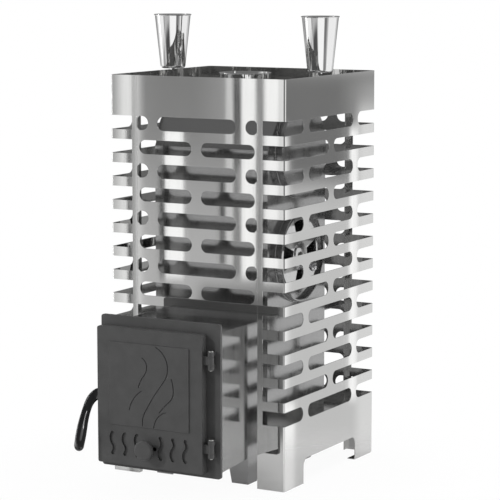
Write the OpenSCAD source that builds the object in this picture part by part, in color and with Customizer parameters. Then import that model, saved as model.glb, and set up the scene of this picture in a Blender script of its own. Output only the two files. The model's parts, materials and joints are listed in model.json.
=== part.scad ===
// Wood-fired sauna heater: a stainless furnace with a fuel tunnel and a cast door,
// inside a slotted sheet casing. Millimetres, +Z up, front towards -Y.
// The origin lies on the floor, in the middle of the whole footprint.

/* [Casing] */
// Width of the casing over its side panels
casing_w = 450; // [430:1:520]
// Depth of the casing over its front and back flanges
casing_d = 450; // [430:1:520]
// Thickness of the casing sheet
sheet = 1.5; // [1:0.1:2.5]
// Outer bend radius at the vertical corners
corner_r = 4; // [3:0.5:8]
// Height of the plain band above the first slot
band_h = 92; // [70:1:120]
// Height of one slot
slot_h = 32; // [24:1:36]
// Height of the fin between two slots
fin_h = 22; // [18:1:30]
// Number of slot rows in the side and back panels
slot_rows = 13; // [12:1:13]
// Height of the plain skirt below the last slot
skirt_h = 148; // [120:1:180]
// Width of a side panel's return flange on the front and the back
flange_w = 69; // [62:1:74]
// Width of the uncut strip along the edge of a return flange
strip_w = 13; // [9:1:16]
// Depth of the inward lips that join the panels
lip_d = 15; // [12:1:20]
// Gap between two lips that are screwed together
lip_gap = 0.3; // [0.2:0.1:0.6]
// Width of the webs between two slots in a row
web_w = 24; // [18:1:30]
// Distance of the outer webs from the middle of a panel
web_x = 114; // [108:1:118]
// Distance of the outer webs from the middle of a side panel
side_web_y = 123; // [110:1:130]
// Margin between the outermost slots and the edge of a grid panel
grid_margin = 6; // [4:1:10]
// Rows of slots in the front grid panel
grid_rows = 8; // [8:1:8]

/* [Casing feet] */
// Length of a foot along the side of the casing
foot_l = 93; // [70:1:110]
// Height of the arch between two feet
arch_h = 57; // [40:1:70]
// Radius in the upper corners of the arch
arch_r = 18; // [8:1:24]
// Reach of a foot plate from the outside of the casing
foot_tab = 20; // [12:1:26]

/* [Furnace] */
// Width of the furnace over its side walls
furnace_w = 294; // [286:1:300]
// Room between a barrel and the front or back wall of the furnace
barrel_room = 35.5; // [30:0.5:40]
// Gap between the front of the casing and the front wall of the furnace
furnace_gap = 64; // [56:1:70]
// Thickness of the furnace walls
furnace_wall = 4; // [3:0.5:6]
// Fall of the roof's slopes down to the fold in the walls
roof_fall = 106; // [90:1:115]
// Height of the flat roof
roof_z = 862; // [858:1:875]
// Run of the front slope of the roof
roof_front = 75; // [60:1:80]
// Run of the back slope of the roof
roof_back = 55; // [40:1:60]
// Height of the legs under the furnace
leg_h = 72; // [66:1:76]
// Width of one face of a leg at the floor
leg_w = 42; // [34:1:50]
// Extra width of a leg face where it meets the furnace
leg_flare = 14; // [8:1:18]
// Thickness of the leg sheet
leg_sheet = 3; // [2:0.5:4]

/* [Flue collar] */
// Inside radius of the collar that takes a 115 mm flue pipe
flue_r = 57.5; // [50:0.5:57.5]
// Wall thickness of the collar
flue_wall = 1.5; // [1:0.5:2.5]
// Overhang of the rolled lip
flue_lip = 2; // [1:0.5:4]

/* [Barrels] */
// Outside radius of the two cross barrels
barrel_r = 106; // [96:1:108]
// Wall thickness of a barrel
barrel_wall = 3; // [2:0.5:4]
// Gap between the upper barrel, which makes the steam, and the furnace's roof
roof_gap = 10; // [8:1:14]
// Gap between the upper barrel and the lower one, which holds stones
barrel_gap = 28; // [24:1:34]
// Length of a barrel that stands out of each side wall
barrel_out = 16; // [12:1:20]
// Thickness of the end covers
cover_t = 3; // [2:0.5:4]

/* [Rotary dampers] */
// Recess of the damper plate behind the barrel's rim
damper_recess = 11; // [9:1:13]
// Thickness of the fixed and the turning plate
damper_t = 3; // [2:0.5:4]
// Free ring between the turning disc and the barrel's rim
disc_margin = 18; // [14:1:24]
// Width of the disc's rim outside the sector openings
disc_rim = 7; // [4:1:12]
// Radius of the raised hub
hub_r = 30; // [24:1:34]
// Height of the raised hub
hub_h = 3; // [2:0.5:4]
// Angle of one sector opening
sector_a = 42; // [34:1:43]
// Distance of the knob from the axis
knob_x = 45; // [40:1:60]
// Radius of the ball knob
ball_r = 9.5; // [7:0.5:12]

/* [Fuel tunnel] */
// Outside width of the tunnel
tunnel_w = 279; // [272:1:284]
// Height of the front plate over the tunnel's top
tunnel_drop = 17; // [10:1:22]
// Drop of the tunnel's floor towards the front plate
ramp_drop = 9; // [5:1:12]
// Distance of the front plate's back from the front of the casing
tunnel_out = 130; // [110:1:150]
// Length of the rising part of the tunnel's floor
ramp_l = 140; // [120:1:150]
// Wall thickness of the tunnel
tunnel_wall = 3; // [2:0.5:4]

/* [Front plate] */
// Front plate beyond the door's left edge
plate_left_edge = 2.5; // [1:0.5:4]
// Front plate beyond the door's right edge, where the hinges sit
plate_right_edge = 33.5; // [32:0.5:36]
// Front plate beyond the door's upper edge
plate_upper_edge = 23; // [16:1:26]
// Front plate beyond the door's lower edge
plate_lower_edge = 11; // [6:1:14]
// Thickness of the front plate
plate_t = 8; // [6:1:10]
// Inset of the stoking opening from the door's left edge
stoke_left = 44; // [44:1:48]
// Inset of the stoking opening from the door's right edge
stoke_right = 31; // [30:1:40]
// Inset of the stoking opening from the door's upper edge
stoke_upper = 28; // [27:1:36]
// Height of the stoking opening's sill over the door's lower edge
stoke_sill = 94; // [94:1:98]
// Bridge between the stoking opening and the ash opening
plate_bridge = 16; // [16:1:18]
// Inset of the ash opening from the door's left edge
ash_left = 28; // [26:1:30]
// Inset of the ash opening from the door's right edge
ash_right = 29; // [27:1:31]

/* [Door] */
// Width of the door
door_w = 271; // [266:1:272]
// Height of the door
door_h = 310; // [306:1:312]
// Drop of the door's lower edge below the furnace floor
door_drop = 12; // [10:1:14]
// Place of the door's left edge
door_left = -164; // [-166:1:-162]
// Depth of the door's rim
door_rim_d = 20; // [20:1:22]
// Width of the door's rim
door_rim_w = 7; // [5:1:8]
// Thickness of the door's face
door_skin = 7; // [6:0.5:8]
// Gap between the door's rim and the front plate
door_gap = 2; // [1.5:0.5:3]
// Height of the raised panel over the door's face
panel_relief = 2; // [1:0.5:3]
// Width of the flame lines
flame_w = 2.6; // [1.5:0.1:3]
// Depth of the flame lines
flame_depth = 1.6; // [0.6:0.1:1.8]
// Furthest the door swings open
door_swing = 110; // [90:5:120]

/* [Door hinges] */
// Distance of the hinge axis from the door's right edge
hinge_x = 16; // [15:1:17]
// Radius of the knuckles
knuckle_r = 7; // [6:0.5:8]
// Height of one hinge over its three knuckles
hinge_h = 40; // [36:1:44]
// Height of the lower hinge over the door's lower edge
hinge_low = 37; // [30:1:44]
// Distance of the upper hinge's foot below the door's upper edge
hinge_high = 76; // [70:1:84]
// Radius of the hinge pins
pin_r = 4; // [3:0.5:4.5]
// Radial clearance of a pin in its bore
pin_fit = 0.06; // [0.03:0.01:0.1]

/* [Latch and handle] */
// Distance of the latch pivot from the door's left edge
latch_x = 20; // [20:1:21]
// Height of the latch pivot over the door's lower edge
latch_up = 156; // [146:1:166]
// Radius of the latch boss
latch_boss_r = 8; // [7:0.5:8.5]
// Length of the hook arm
hook_l = 26; // [22:1:28]
// Radius of the keeper's stem
keeper_r = 2.5; // [2:0.5:3]
// Thickness of the handle's grip
grip_t = 13; // [11:0.5:14]
// Depth of the finger groove in the grip, as a part of its half thickness
groove = 0.55; // [0:0.05:0.7]

/* [Air shutter] */
// From the door's left edge to the row of air slots
air_left = 24.7; // [24:0.1:26]
// Width of an air slot
air_slot_w = 9; // [6:0.5:10]
// Length of an air slot
air_slot_l = 54; // [48:1:56]
// Turn of each half of an air slot
air_bend = 80; // [50:5:90]
// Height of the middle of the air slots over the ash opening's sill
air_up = 37; // [35:1:38]
// From the row of air slots to the door's right edge
air_right = 28.7; // [28:0.1:30]
// Distance of the air knob below the middle of the air slots
air_knob_drop = 3; // [0:1:5]
// Thickness of the shutter plate
shutter_t = 2.5; // [2:0.5:3]
// Distance of the air knob's face from the door's face
knob_reach = 27; // [24:1:34]
// Radius of the air knob
air_knob_r = 22.5; // [18:0.5:24]

/* [Funnels] */
// Distance of a funnel's axis from the middle of the casing
funnel_x = 195; // [186:1:200]
// Radius of a funnel at its mouth
funnel_top_r = 42; // [36:1:46]
// Radius of a funnel at its foot
funnel_foot_r = 29.5; // [24:0.5:32]
// Height of a funnel
funnel_h = 127; // [100:1:150]
// Height of a funnel's foot over the casing
funnel_lift = 5; // [3:1:10]
// Wall thickness of a funnel
funnel_wall = 1.2; // [0.8:0.1:2]
// Outside radius of a water pipe
pipe_r = 5; // [4.5:0.1:6]
// Wall thickness of a water pipe
pipe_wall = 1; // [0.8:0.1:1.5]
// Distance of a water pipe's inlet below the top of the steam barrel
inlet_in = 26; // [22:1:34]

/* [Grate and ash drawer] */
// Width of the grate
grate_w = 196; // [180:1:210]
// Length of the grate
grate_l = 200; // [180:1:220]
// Thickness of the grate
grate_t = 14; // [10:1:18]
// Height of the hearth plate over the furnace floor
hearth_up = 70; // [68:1:71]
// Thickness of the hearth plate
hearth_t = 4; // [3:0.5:5]
// Height of the ash drawer
drawer_h = 52; // [40:1:54]
// Length of the ash drawer
drawer_l = 360; // [300:5:400]

/* [Hidden] */
$fn = 64;
eps = 0.01;
over = 1;

// Casing levels
slot_pitch = slot_h + fin_h;
casing_h = band_h + slot_rows * slot_h + (slot_rows - 1) * fin_h + skirt_h;
half_w = casing_w / 2;
half_d = casing_d / 2;
strip_x = half_w - flange_w;
flange_cut_x = strip_x + strip_w;
grid_half = strip_x - lip_gap;
slot_end_x = grid_half - grid_margin;
grid_z = slot_base(grid_rows) - fin_h;

// Barrels
disc_r = barrel_r - disc_margin;
sector_r = disc_r - disc_rim;
steam_z = roof_z - roof_gap - barrel_r;
stone_z = steam_z - 2 * barrel_r - barrel_gap;

// Furnace
furnace_front_y = -half_d + furnace_gap;
furnace_back_y = furnace_front_y + 2 * (barrel_r + barrel_room);
shoulder_z = roof_z - roof_fall;
furnace_y = (furnace_front_y + furnace_back_y) / 2;
furnace_half = furnace_w / 2;
furnace_in = furnace_half - furnace_wall;
barrel_end = furnace_half + barrel_out;
weld_gap = 0.1;

// Front plate and door planes
plate_back_y = -half_d - tunnel_out;
plate_front_y = plate_back_y - plate_t;
door_back_y = plate_front_y - door_gap;
door_front_y = door_back_y - door_rim_d;
skin_back_y = door_front_y + door_skin;
door_z = leg_h - door_drop;
door_top = door_z + door_h;
door_right = door_left + door_w;
plate_left = door_left - plate_left_edge;
plate_right = door_right + plate_right_edge;
plate_z = door_z - plate_lower_edge;
plate_top = door_top + plate_upper_edge;
hinge_axis_x = door_right + hinge_x;
hinge_axis_y = door_front_y + 11;
hinge_z1 = door_z + hinge_low;
hinge_z2 = door_top - hinge_high;
stoke_x = door_left + stoke_left;
stoke_w = door_w - stoke_left - stoke_right;
stoke_z = door_z + stoke_sill;
stoke_h = door_h - stoke_sill - stoke_upper;
ash_x = door_left + ash_left;
ash_w = door_w - ash_left - ash_right;
ash_z = leg_h - 2;
ash_h = stoke_z - plate_bridge - ash_z;
tunnel_top = plate_top - tunnel_drop;
tunnel_front_z = leg_h - ramp_drop;
hearth_z = leg_h + hearth_up;
door_corner_r = 5;

// Door seal: a glass-fibre rope round the stoking opening
rope_r = 4.5;
rope_gap = 0.3;
rope_x = 8;
seal_rib = 2.5;
seal_y = plate_front_y - rope_gap - rope_r;
seal_floor_y = seal_y - rope_r - rope_gap;

// Latch
latch_axis_x = door_left + latch_x;
latch_z = door_z + latch_up;
latch_front_y = skin_back_y + 0.5;
latch_back_y = plate_front_y - 3.5;
hook_t = 3;
hook_w = 7;
latch_close = 10;
tenon_r = 3;
tenon_l = 8;
keeper_head_r = 4;
keeper_swing = hook_l * sin(latch_close);

// Air shutter
air_pitch = (door_w - air_left - air_right) / 6.8;
shutter_travel = air_pitch / 2;
rail_gap = 0.3;
pocket_d = shutter_t + 2 * rail_gap;
shutter_y = skin_back_y - pocket_d + rail_gap;
air_x = door_left + air_left + 3.4 * air_pitch;
air_z = ash_z + air_up;
air_knob_z = air_z - air_knob_drop;
shutter_top = air_z + 30;
shutter_low = air_z - 32;
shank_r = 4;

// The handle's grip from the latch pivot and the door's back: places along its middle line, and its width
grip_shape = [
    [-21.2, -7.3, -3, 27], [-28, -8, -5, 26], [-35.5, -10.5, -10, 24], [-41, -15.5, -18, 23],
    [-44, -21.5, -28, 22], [-45.3, -27.5, -39, 22], [-46, -33.5, -51, 23], [-46.7, -39, -64.5, 24.5],
    [-47.5, -43.5, -79.5, 26.5], [-48.8, -47.6, -97, 27], [-50.6, -51.6, -117, 25.5]
];
grip_sides = 28;
grip_n = 2 * (len(grip_shape) - 1);
// The whole footprint reaches from the handle's front to the casing's back
handle_front_y = min([for (ring = grip_rings(), p = ring) p[1]]);
origin_y = (handle_front_y + half_d) / 2;

function slot_base(row) = casing_h - band_h - (row - 1) * slot_pitch - slot_h;
function is_odd(row) = row % 2 == 1;
function arc_points(cx, cy, r, a0, a1, n) =
    [for (i = [0:n]) let (a = a0 + (a1 - a0) * i / n) [cx + r * cos(a), cy + r * sin(a)]];

// A place on the smooth curve through the grip's points, and the width there
function grip_place(t) =
    let (
        last = len(grip_shape) - 1,
        i = min(floor(t), last - 1),
        u = t - i,
        p = [for (k = [-1:2]) grip_shape[min(max(i + k, 0), last)]]
    )
    (2 * p[1] + (p[2] - p[0]) * u + (2 * p[0] - 5 * p[1] + 4 * p[2] - p[3]) * u ^ 2
        + (3 * p[1] - p[0] - 3 * p[2] + p[3]) * u ^ 3) / 2;
function grip_centre(i) = let (g = grip_place(i / 2))
    [latch_axis_x + g[0], door_back_y + g[1], latch_z + g[2]];

// Direction of the grip's middle line at ring i
function grip_dir(i) = i == 0 ? [-1, 0, 0] :
    let (d = grip_centre(min(i + 1, grip_n)) - grip_centre(i - 1)) d / norm(d);

// How deep the finger groove is at ring i, from 0 to 1
function groove_at(i) = let (u = i / grip_n) u < 0.42 || u > 0.97 ? 0 : sin((u - 0.42) / 0.55 * 180) ^ 0.5;

// A ring of points round the middle line: wide across the lever, thin from front to back
function grip_ring(i, s = 1) =
    let (
        d = grip_dir(i),
        wide = cross([0, 1, 0], d) / norm(cross([0, 1, 0], d)),
        thin = cross(d, wide),
        width = grip_place(i / 2)[3],
        thickness = grip_t * min(1, 0.7 + 0.06 * i)
    )
    [for (k = [0:grip_sides - 1])
        let (
            a = 360 * k / grip_sides,
            hollow = sin(a) < 0 ? groove * groove_at(i) * max(0, 1 - (cos(a) / 0.6) ^ 2) : 0
        )
        grip_centre(i) + s * (wide * cos(a) * width / 2 + thin * sin(a) * (1 - hollow) * thickness / 2)];

// All rings of the grip, with a rounded tip at its lower end
function grip_rings(steps = 5) = concat(
    [for (i = [0:grip_n]) grip_ring(i)],
    [for (j = [1:steps]) let (a = 84 * j / steps)
        [for (p = grip_ring(grip_n, cos(a)))
            p + grip_dir(grip_n) * sin(a) * grip_place(grip_n / 2)[3] / 2]]
);

// Moves a piece from casing-centred places to the row's origin
module placed() {
    translate([0, -origin_y, 0]) children();
}

module mirrored_x(left) {
    if (left) mirror([1, 0, 0]) children();
    else children();
}

// A 2D shape drawn in X and Z becomes a solid between two Y planes
module along_y(y0, y1) {
    translate([0, y1, 0]) rotate([90, 0, 0]) linear_extrude(height = y1 - y0) children();
}

// A 2D shape drawn in Y and Z becomes a solid between two X planes
module along_x(x0, x1) {
    translate([x0, 0, 0]) rotate([90, 0, 90]) linear_extrude(height = x1 - x0) children();
}

// A slot from a to b with round ends where asked, z0 to z0 + slot_h
module slot_2d(a, b, z0, round_a = true, round_b = true) {
    r = slot_h / 2;
    start = round_a ? a + r : a;
    end = round_b ? b - r : b;
    translate([start, z0]) square([end - start, slot_h]);
    if (round_a) translate([a + r, z0 + r]) circle(r);
    if (round_b) translate([b - r, z0 + r]) circle(r);
}

module round_rect_2d(x0, y0, x1, y1, r) {
    translate([x0 + r, y0]) square([x1 - x0 - 2 * r, y1 - y0]);
    translate([x0, y0 + r]) square([x1 - x0, y1 - y0 - 2 * r]);
    for (x = [x0 + r, x1 - r], y = [y0 + r, y1 - r]) translate([x, y]) circle(r);
}

// One side of a line that turns along arcs [radius, turn], at an offset to its left.
// heading is the direction at its start, and a negative turn is clockwise.
function trail_side(start, heading, arcs, offset, i = 0) = i == len(arcs) ? [] :
    let (
        r = arcs[i][0],
        turn = arcs[i][1],
        side = turn > 0 ? 1 : -1,
        centre = start + side * r * [-sin(heading), cos(heading)],
        from = heading - side * 90,
        steps = max(2, ceil(abs(turn) / 7.5)),
        end = centre + r * [cos(from + turn), sin(from + turn)]
    )
    concat(
        [for (k = [(i == 0 ? 0 : 1):steps]) let (a = from + turn * k / steps)
            centre + (r - side * offset) * [cos(a), sin(a)]],
        trail_side(end, heading + turn, arcs, offset, i + 1)
    );

// A half circle of points from one side of a line to the other, without its ends
function round_end(a, b, steps = 8) =
    let (mid = (a + b) / 2, r = norm(b - a) / 2, from = atan2(a[1] - mid[1], a[0] - mid[0]))
    [for (k = [1:steps - 1]) mid + r * [cos(from - 180 * k / steps), sin(from - 180 * k / steps)]];

// A line of constant width along arcs, with round ends
module trail_2d(start, heading, arcs, w) {
    left = trail_side(start, heading, arcs, w / 2);
    right = trail_side(start, heading, arcs, -w / 2);
    n = len(left) - 1;
    polygon(concat(
        left, round_end(left[n], right[n]),
        [for (k = [n:-1:0]) right[k]], round_end(right[0], left[0])
    ));
}

// Casing

// The bent sheet of a side panel in plan, right-hand panel
module side_profile_2d() {
    inner_r = corner_r - sheet;
    intersection() {
        difference() {
            round_rect_2d(-half_w, -half_d, half_w, half_d, corner_r);
            round_rect_2d(-half_w + sheet, -half_d + sheet, half_w - sheet, half_d - sheet, inner_r);
        }
        translate([strip_x, -half_d]) square([flange_w, casing_d]);
    }
    for (side = [-1, 1])
        translate([strip_x, side > 0 ? half_d - lip_d : -half_d]) square([sheet, lip_d]);
}

// The slots of one row on the side face, from corner to corner, in Y and Z
module side_row_2d(row) {
    z0 = slot_base(row);
    far = half_d + over;
    if (is_odd(row)) {
        slot_2d(-side_web_y + web_w / 2, side_web_y - web_w / 2, z0);
        slot_2d(-far, -side_web_y - web_w / 2, z0, round_a = false);
        slot_2d(side_web_y + web_w / 2, far, z0, round_b = false);
    } else {
        slot_2d(-far, -web_w / 2, z0, round_a = false);
        slot_2d(web_w / 2, far, z0, round_b = false);
    }
}

// The part of a row that runs round the corner and across the return flange
module flange_row(row) {
    z0 = slot_base(row);
    for (side = [-1, 1])
        translate([flange_cut_x, side > 0 ? half_d - corner_r : -half_d - over, z0])
            cube([half_w - flange_cut_x + over, corner_r + over, slot_h]);
}

module arch_2d() {
    half = half_d - foot_l;
    translate([-half, -over]) square([2 * half, arch_h + over - arch_r]);
    translate([-half + arch_r, arch_h - arch_r - eps]) square([2 * (half - arch_r), arch_r + eps]);
    for (side = [-1, 1]) translate([side * (half - arch_r), arch_h - arch_r]) circle(arch_r);
}

module side_panel(left) {
    color([0.77, 0.77, 0.76]) placed() mirrored_x(left) difference() {
        linear_extrude(height = casing_h) side_profile_2d();
        along_x(half_w - corner_r, half_w + over) for (row = [1:slot_rows]) side_row_2d(row);
        for (row = [1:slot_rows]) flange_row(row);
        along_x(half_w - corner_r, half_w + over) arch_2d();
        screw_holes(front_screw_z);
        rotate([0, 0, 180]) screw_holes(back_screw_z);
    }
}

// Flat plates inside the casing's four feet, level with the floor
module foot_plates() {
    color([0.7, 0.7, 0.7]) placed() for (left = [false, true]) mirrored_x(left)
        for (y0 = [-half_d + corner_r, half_d - foot_l])
            translate([half_w - foot_tab, y0, 0]) cube([foot_tab - sheet, foot_l - corner_r, sheet]);
}

module side_panel_left() { side_panel(true); }
module side_panel_right() { side_panel(false); }

// The slots of one row of a grid panel, in X and Z
module grid_row_2d(row) {
    z0 = slot_base(row);
    if (is_odd(row)) {
        slot_2d(-web_x + web_w / 2, web_x - web_w / 2, z0);
        slot_2d(-slot_end_x, -web_x - web_w / 2, z0, round_a = false);
        slot_2d(web_x + web_w / 2, slot_end_x, z0, round_b = false);
    } else {
        slot_2d(-slot_end_x, -web_w / 2, z0);
        slot_2d(web_w / 2, slot_end_x, z0);
    }
}

// A flat panel with lips along both sides, drawn at the front of the casing
module grid_panel(rows, low_z) {
    difference() {
        translate([-grid_half, -half_d, low_z]) cube([2 * grid_half, sheet, casing_h - low_z]);
        along_y(-half_d - over, -half_d + sheet + over) for (row = [1:rows]) grid_row_2d(row);
    }
    for (side = [-1, 1])
        translate([side > 0 ? grid_half - sheet : -grid_half, -half_d + sheet - eps, low_z])
            cube([sheet, lip_d - sheet, casing_h - low_z]);
    translate([-grid_half + sheet, -half_d + sheet - eps, low_z])
        cube([2 * (grid_half - sheet), lip_d - sheet, sheet]);
}

module front_grid() {
    color([0.75, 0.75, 0.75]) placed() difference() {
        grid_panel(grid_rows, grid_z);
        screw_holes(front_screw_z);
    }
}

module back_grid() {
    color([0.7, 0.7, 0.7]) placed() rotate([0, 0, 180]) difference() {
        grid_panel(slot_rows, arch_h);
        screw_holes(back_screw_z);
    }
}

// Screws that join the lips of a grid panel and a side panel
front_screw_z = [casing_h - 46, casing_h - 262, casing_h - 478];
back_screw_z = [casing_h - 46, casing_h - 424, arch_h + 60];
screw_r = 2;
screw_inset = 8;

module screw_holes(levels) {
    for (side = [-1, 1], z = levels)
        translate([side > 0 ? strip_x - lip_d / 2 : -strip_x - lip_d / 2, -half_d + screw_inset, z])
            rotate([0, 90, 0]) cylinder(r = screw_r + 0.1, h = lip_d);
}

module lip_screw() {
    rotate([0, 90, 0]) {
        cylinder(r = screw_r, h = 9, center = true);
        translate([0, 0, sheet + 0.35]) cylinder(r1 = 3.8, r2 = 2.8, h = 2.2);
        translate([0, 0, -sheet - 0.35 - 3]) cylinder(r = 3.9, h = 3, $fn = 6);
    }
}

module panel_screws() {
    joint_x = strip_x - lip_gap / 2;
    color([0.8, 0.8, 0.8]) placed() for (side = [-1, 1]) {
        for (z = front_screw_z) translate([side * joint_x, -half_d + screw_inset, z]) lip_screw();
        for (z = back_screw_z) translate([side * joint_x, half_d - screw_inset, z]) lip_screw();
    }
}

// Flat bars that hold the casing off the back wall of the furnace
bracket_rows = [3, 9];
bracket_x = 122;
bracket_w = 30;
bracket_t = 3;
bracket_tab = 18;

module rear_bracket() {
    back = half_d - sheet;
    length = back - furnace_back_y;
    translate([-bracket_w / 2, furnace_back_y, -bracket_t / 2]) cube([bracket_w, length, bracket_t]);
    for (y = [furnace_back_y, back - bracket_t])
        translate([-bracket_w / 2, y, -bracket_tab / 2]) cube([bracket_w, bracket_t, bracket_tab]);
}

module rear_brackets() {
    color([0.5, 0.5, 0.5]) placed() for (x = [-bracket_x, bracket_x], row = bracket_rows)
        translate([x, 0, slot_base(row) - fin_h / 2]) rear_bracket();
}

// Furnace

// Side outline of the furnace, drawn in by a wall thickness
module furnace_2d(inset = 0) {
    slope_in = inset * 0.65;
    polygon([
        [furnace_front_y + inset, leg_h + inset],
        [furnace_back_y - inset, leg_h + inset],
        [furnace_back_y - inset, shoulder_z - slope_in],
        [furnace_back_y - roof_back - slope_in, roof_z - inset],
        [furnace_front_y + roof_front + slope_in, roof_z - inset],
        [furnace_front_y + inset, shoulder_z - slope_in]
    ]);
}

// Height at which the walls end and the bent roof sheet begins
wall_top = shoulder_z - furnace_wall * 0.65;
furnace_steel = [0.55, 0.55, 0.55];

module furnace_side(left) {
    color(furnace_steel) placed() mirrored_x(left) difference() {
        along_x(furnace_in, furnace_half) furnace_2d();
        for (z = [stone_z, steam_z])
            translate([furnace_in - over, furnace_y, z]) rotate([0, 90, 0])
                cylinder(r = barrel_r + weld_gap, h = furnace_wall + 2 * over, $fn = 96);
    }
}

module furnace_side_left() { furnace_side(true); }
module furnace_side_right() { furnace_side(false); }

module furnace_front() {
    low = leg_h + furnace_wall;
    color(furnace_steel) placed() difference() {
        translate([-furnace_in, furnace_front_y, low])
            cube([2 * furnace_in, furnace_wall, wall_top - low]);
        tunnel_bore(furnace_front_y - over, furnace_front_y + furnace_wall + over);
    }
}

module furnace_back() {
    low = leg_h + furnace_wall;
    color(furnace_steel) placed() translate([-furnace_in, furnace_back_y - furnace_wall, low])
        cube([2 * furnace_in, furnace_wall, wall_top - low]);
}

module furnace_floor() {
    color(furnace_steel) placed() translate([-furnace_in, furnace_front_y, leg_h])
        cube([2 * furnace_in, furnace_back_y - furnace_front_y, furnace_wall]);
}

// The roof: one sheet bent down to the front and the back wall
module furnace_roof() {
    color(furnace_steel) placed() difference() {
        along_x(-furnace_in, furnace_in) intersection() {
            difference() {
                furnace_2d();
                furnace_2d(furnace_wall);
            }
            translate([furnace_front_y - over, wall_top])
                square([furnace_back_y - furnace_front_y + 2 * over, roof_z - wall_top + over]);
        }
        translate([0, 0, roof_z - furnace_wall - over])
            cylinder(r = flue_r + flue_wall + weld_gap, h = furnace_wall + 2 * over);
    }
}

// One angle leg at the front right corner, with its corner towards the front and the side
module angle_leg() {
    along_y(0, leg_sheet) polygon([[-leg_w, 0], [0, 0], [0, leg_h], [-leg_w - leg_flare, leg_h]]);
    along_x(-leg_sheet, 0) polygon([[0, 0], [leg_w, 0], [leg_w + leg_flare, leg_h], [0, leg_h]]);
}

leg_x = furnace_half - 26.5;
front_leg_y = furnace_front_y - 42.5;
rear_leg_y = furnace_back_y - 16;

module furnace_legs() {
    color([0.6, 0.6, 0.6]) placed() for (left = [false, true]) mirrored_x(left) {
        translate([leg_x, front_leg_y, 0]) angle_leg();
        translate([leg_x, rear_leg_y, 0]) mirror([0, 1, 0]) angle_leg();
    }
}

module flue_collar() {
    lip_r = 1;
    outer = flue_r + flue_wall;
    foot_z = roof_z - roof_gap + 3;
    color([0.8, 0.8, 0.8]) placed() rotate_extrude() {
        translate([flue_r, foot_z]) square([flue_wall, casing_h - lip_r - foot_z]);
        translate([flue_r, casing_h - 2 * lip_r]) square([flue_wall + flue_lip - lip_r, 2 * lip_r]);
        translate([outer + flue_lip - lip_r, casing_h - lip_r]) circle(lip_r);
    }
}

// Barrels

module barrel(z) {
    placed() translate([-barrel_end, furnace_y, z]) rotate([0, 90, 0]) difference() {
        cylinder(r = barrel_r, h = 2 * barrel_end, $fn = 96);
        translate([0, 0, -over])
            cylinder(r = barrel_r - barrel_wall, h = 2 * (barrel_end + over), $fn = 96);
    }
}

module stone_barrel() { color([0.62, 0.62, 0.62]) barrel(stone_z); }
module steam_barrel() { color([0.62, 0.62, 0.62]) barrel(steam_z); }

// A lid that lies over the end of the steam barrel and takes the water pipe
module steam_cover(left) {
    color([0.7, 0.7, 0.7]) placed() mirrored_x(left) difference() {
        translate([barrel_end, furnace_y, steam_z]) rotate([0, 90, 0]) union() {
            cylinder(r = barrel_r + 1.5, h = cover_t, $fn = 96);
            translate([0, 0, -6]) cylinder(r = barrel_r - barrel_wall - 0.3, h = 6 + eps, $fn = 96);
        }
        translate([barrel_end - 8, 0, steam_z + barrel_r - inlet_in]) rotate([0, 90, 0])
            cylinder(r = pipe_r + weld_gap, h = cover_t + 10);
    }
}

module steam_cover_left() { steam_cover(true); }
module steam_cover_right() { steam_cover(false); }

// Four sector openings, centred on the cardinal directions
module sectors_2d() {
    inner = hub_r + 4;
    half = sector_a / 2;
    for (k = [0:3]) rotate(90 * k) intersection() {
        difference() {
            circle(sector_r, $fn = 96);
            circle(inner);
        }
        polygon([[0, 0], 2 * sector_r * [cos(half), -sin(half)], 2 * sector_r * [cos(half), sin(half)]]);
    }
}

damper_x = barrel_end - damper_recess;
disc_gap = 0.3;
disc_x = damper_x + disc_gap;
damper_bolt_r = 4;

// Places a shape drawn round the Z axis on the barrel's end, pointing outwards
module on_barrel_end(x, left) {
    placed() mirrored_x(left) translate([x, furnace_y, stone_z]) rotate([90, 0, 90]) children();
}

module damper_plate(left) {
    color([0.3, 0.3, 0.3]) on_barrel_end(damper_x - damper_t, left) difference() {
        linear_extrude(height = damper_t) difference() {
            circle(barrel_r - barrel_wall - 0.1, $fn = 96);
            sectors_2d();
        }
        translate([0, 0, -over]) cylinder(r = damper_bolt_r + 0.05, h = damper_t + 2 * over);
    }
}

module damper_plate_left() { damper_plate(true); }
module damper_plate_right() { damper_plate(false); }

module damper_disc(left) {
    color([0.75, 0.75, 0.75]) on_barrel_end(disc_x, left) difference() {
        union() {
            linear_extrude(height = damper_t) difference() {
                circle(disc_r, $fn = 96);
                sectors_2d();
            }
            rotate_extrude() polygon([
                [0, damper_t - eps], [hub_r, damper_t - eps],
                [hub_r - hub_h, damper_t + hub_h], [0, damper_t + hub_h]
            ]);
        }
        translate([0, 0, -over])
            cylinder(r = damper_bolt_r + pin_fit, h = damper_t + hub_h + 2 * over);
        knob_seat() translate([0, 0, -over]) cylinder(r = stem_r + 0.02, h = damper_t + 2 * over);
    }
}

stem_r = 3;
module knob_seat() { rotate(-45) translate([knob_x, 0, 0]) children(); }

module damper_disc_left() { damper_disc(true); }
module damper_disc_right() { damper_disc(false); }

module damper_knob(left) {
    color([0.9, 0.9, 0.9]) on_barrel_end(disc_x, left) knob_seat() {
        translate([0, 0, 0.2]) cylinder(r = stem_r, h = damper_t + 7 + ball_r);
        translate([0, 0, damper_t]) cylinder(r = stem_r + 2, h = 3);
        translate([0, 0, damper_t + 7 + ball_r]) sphere(ball_r);
    }
}

module damper_knob_left() { damper_knob(true); }
module damper_knob_right() { damper_knob(false); }

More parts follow.
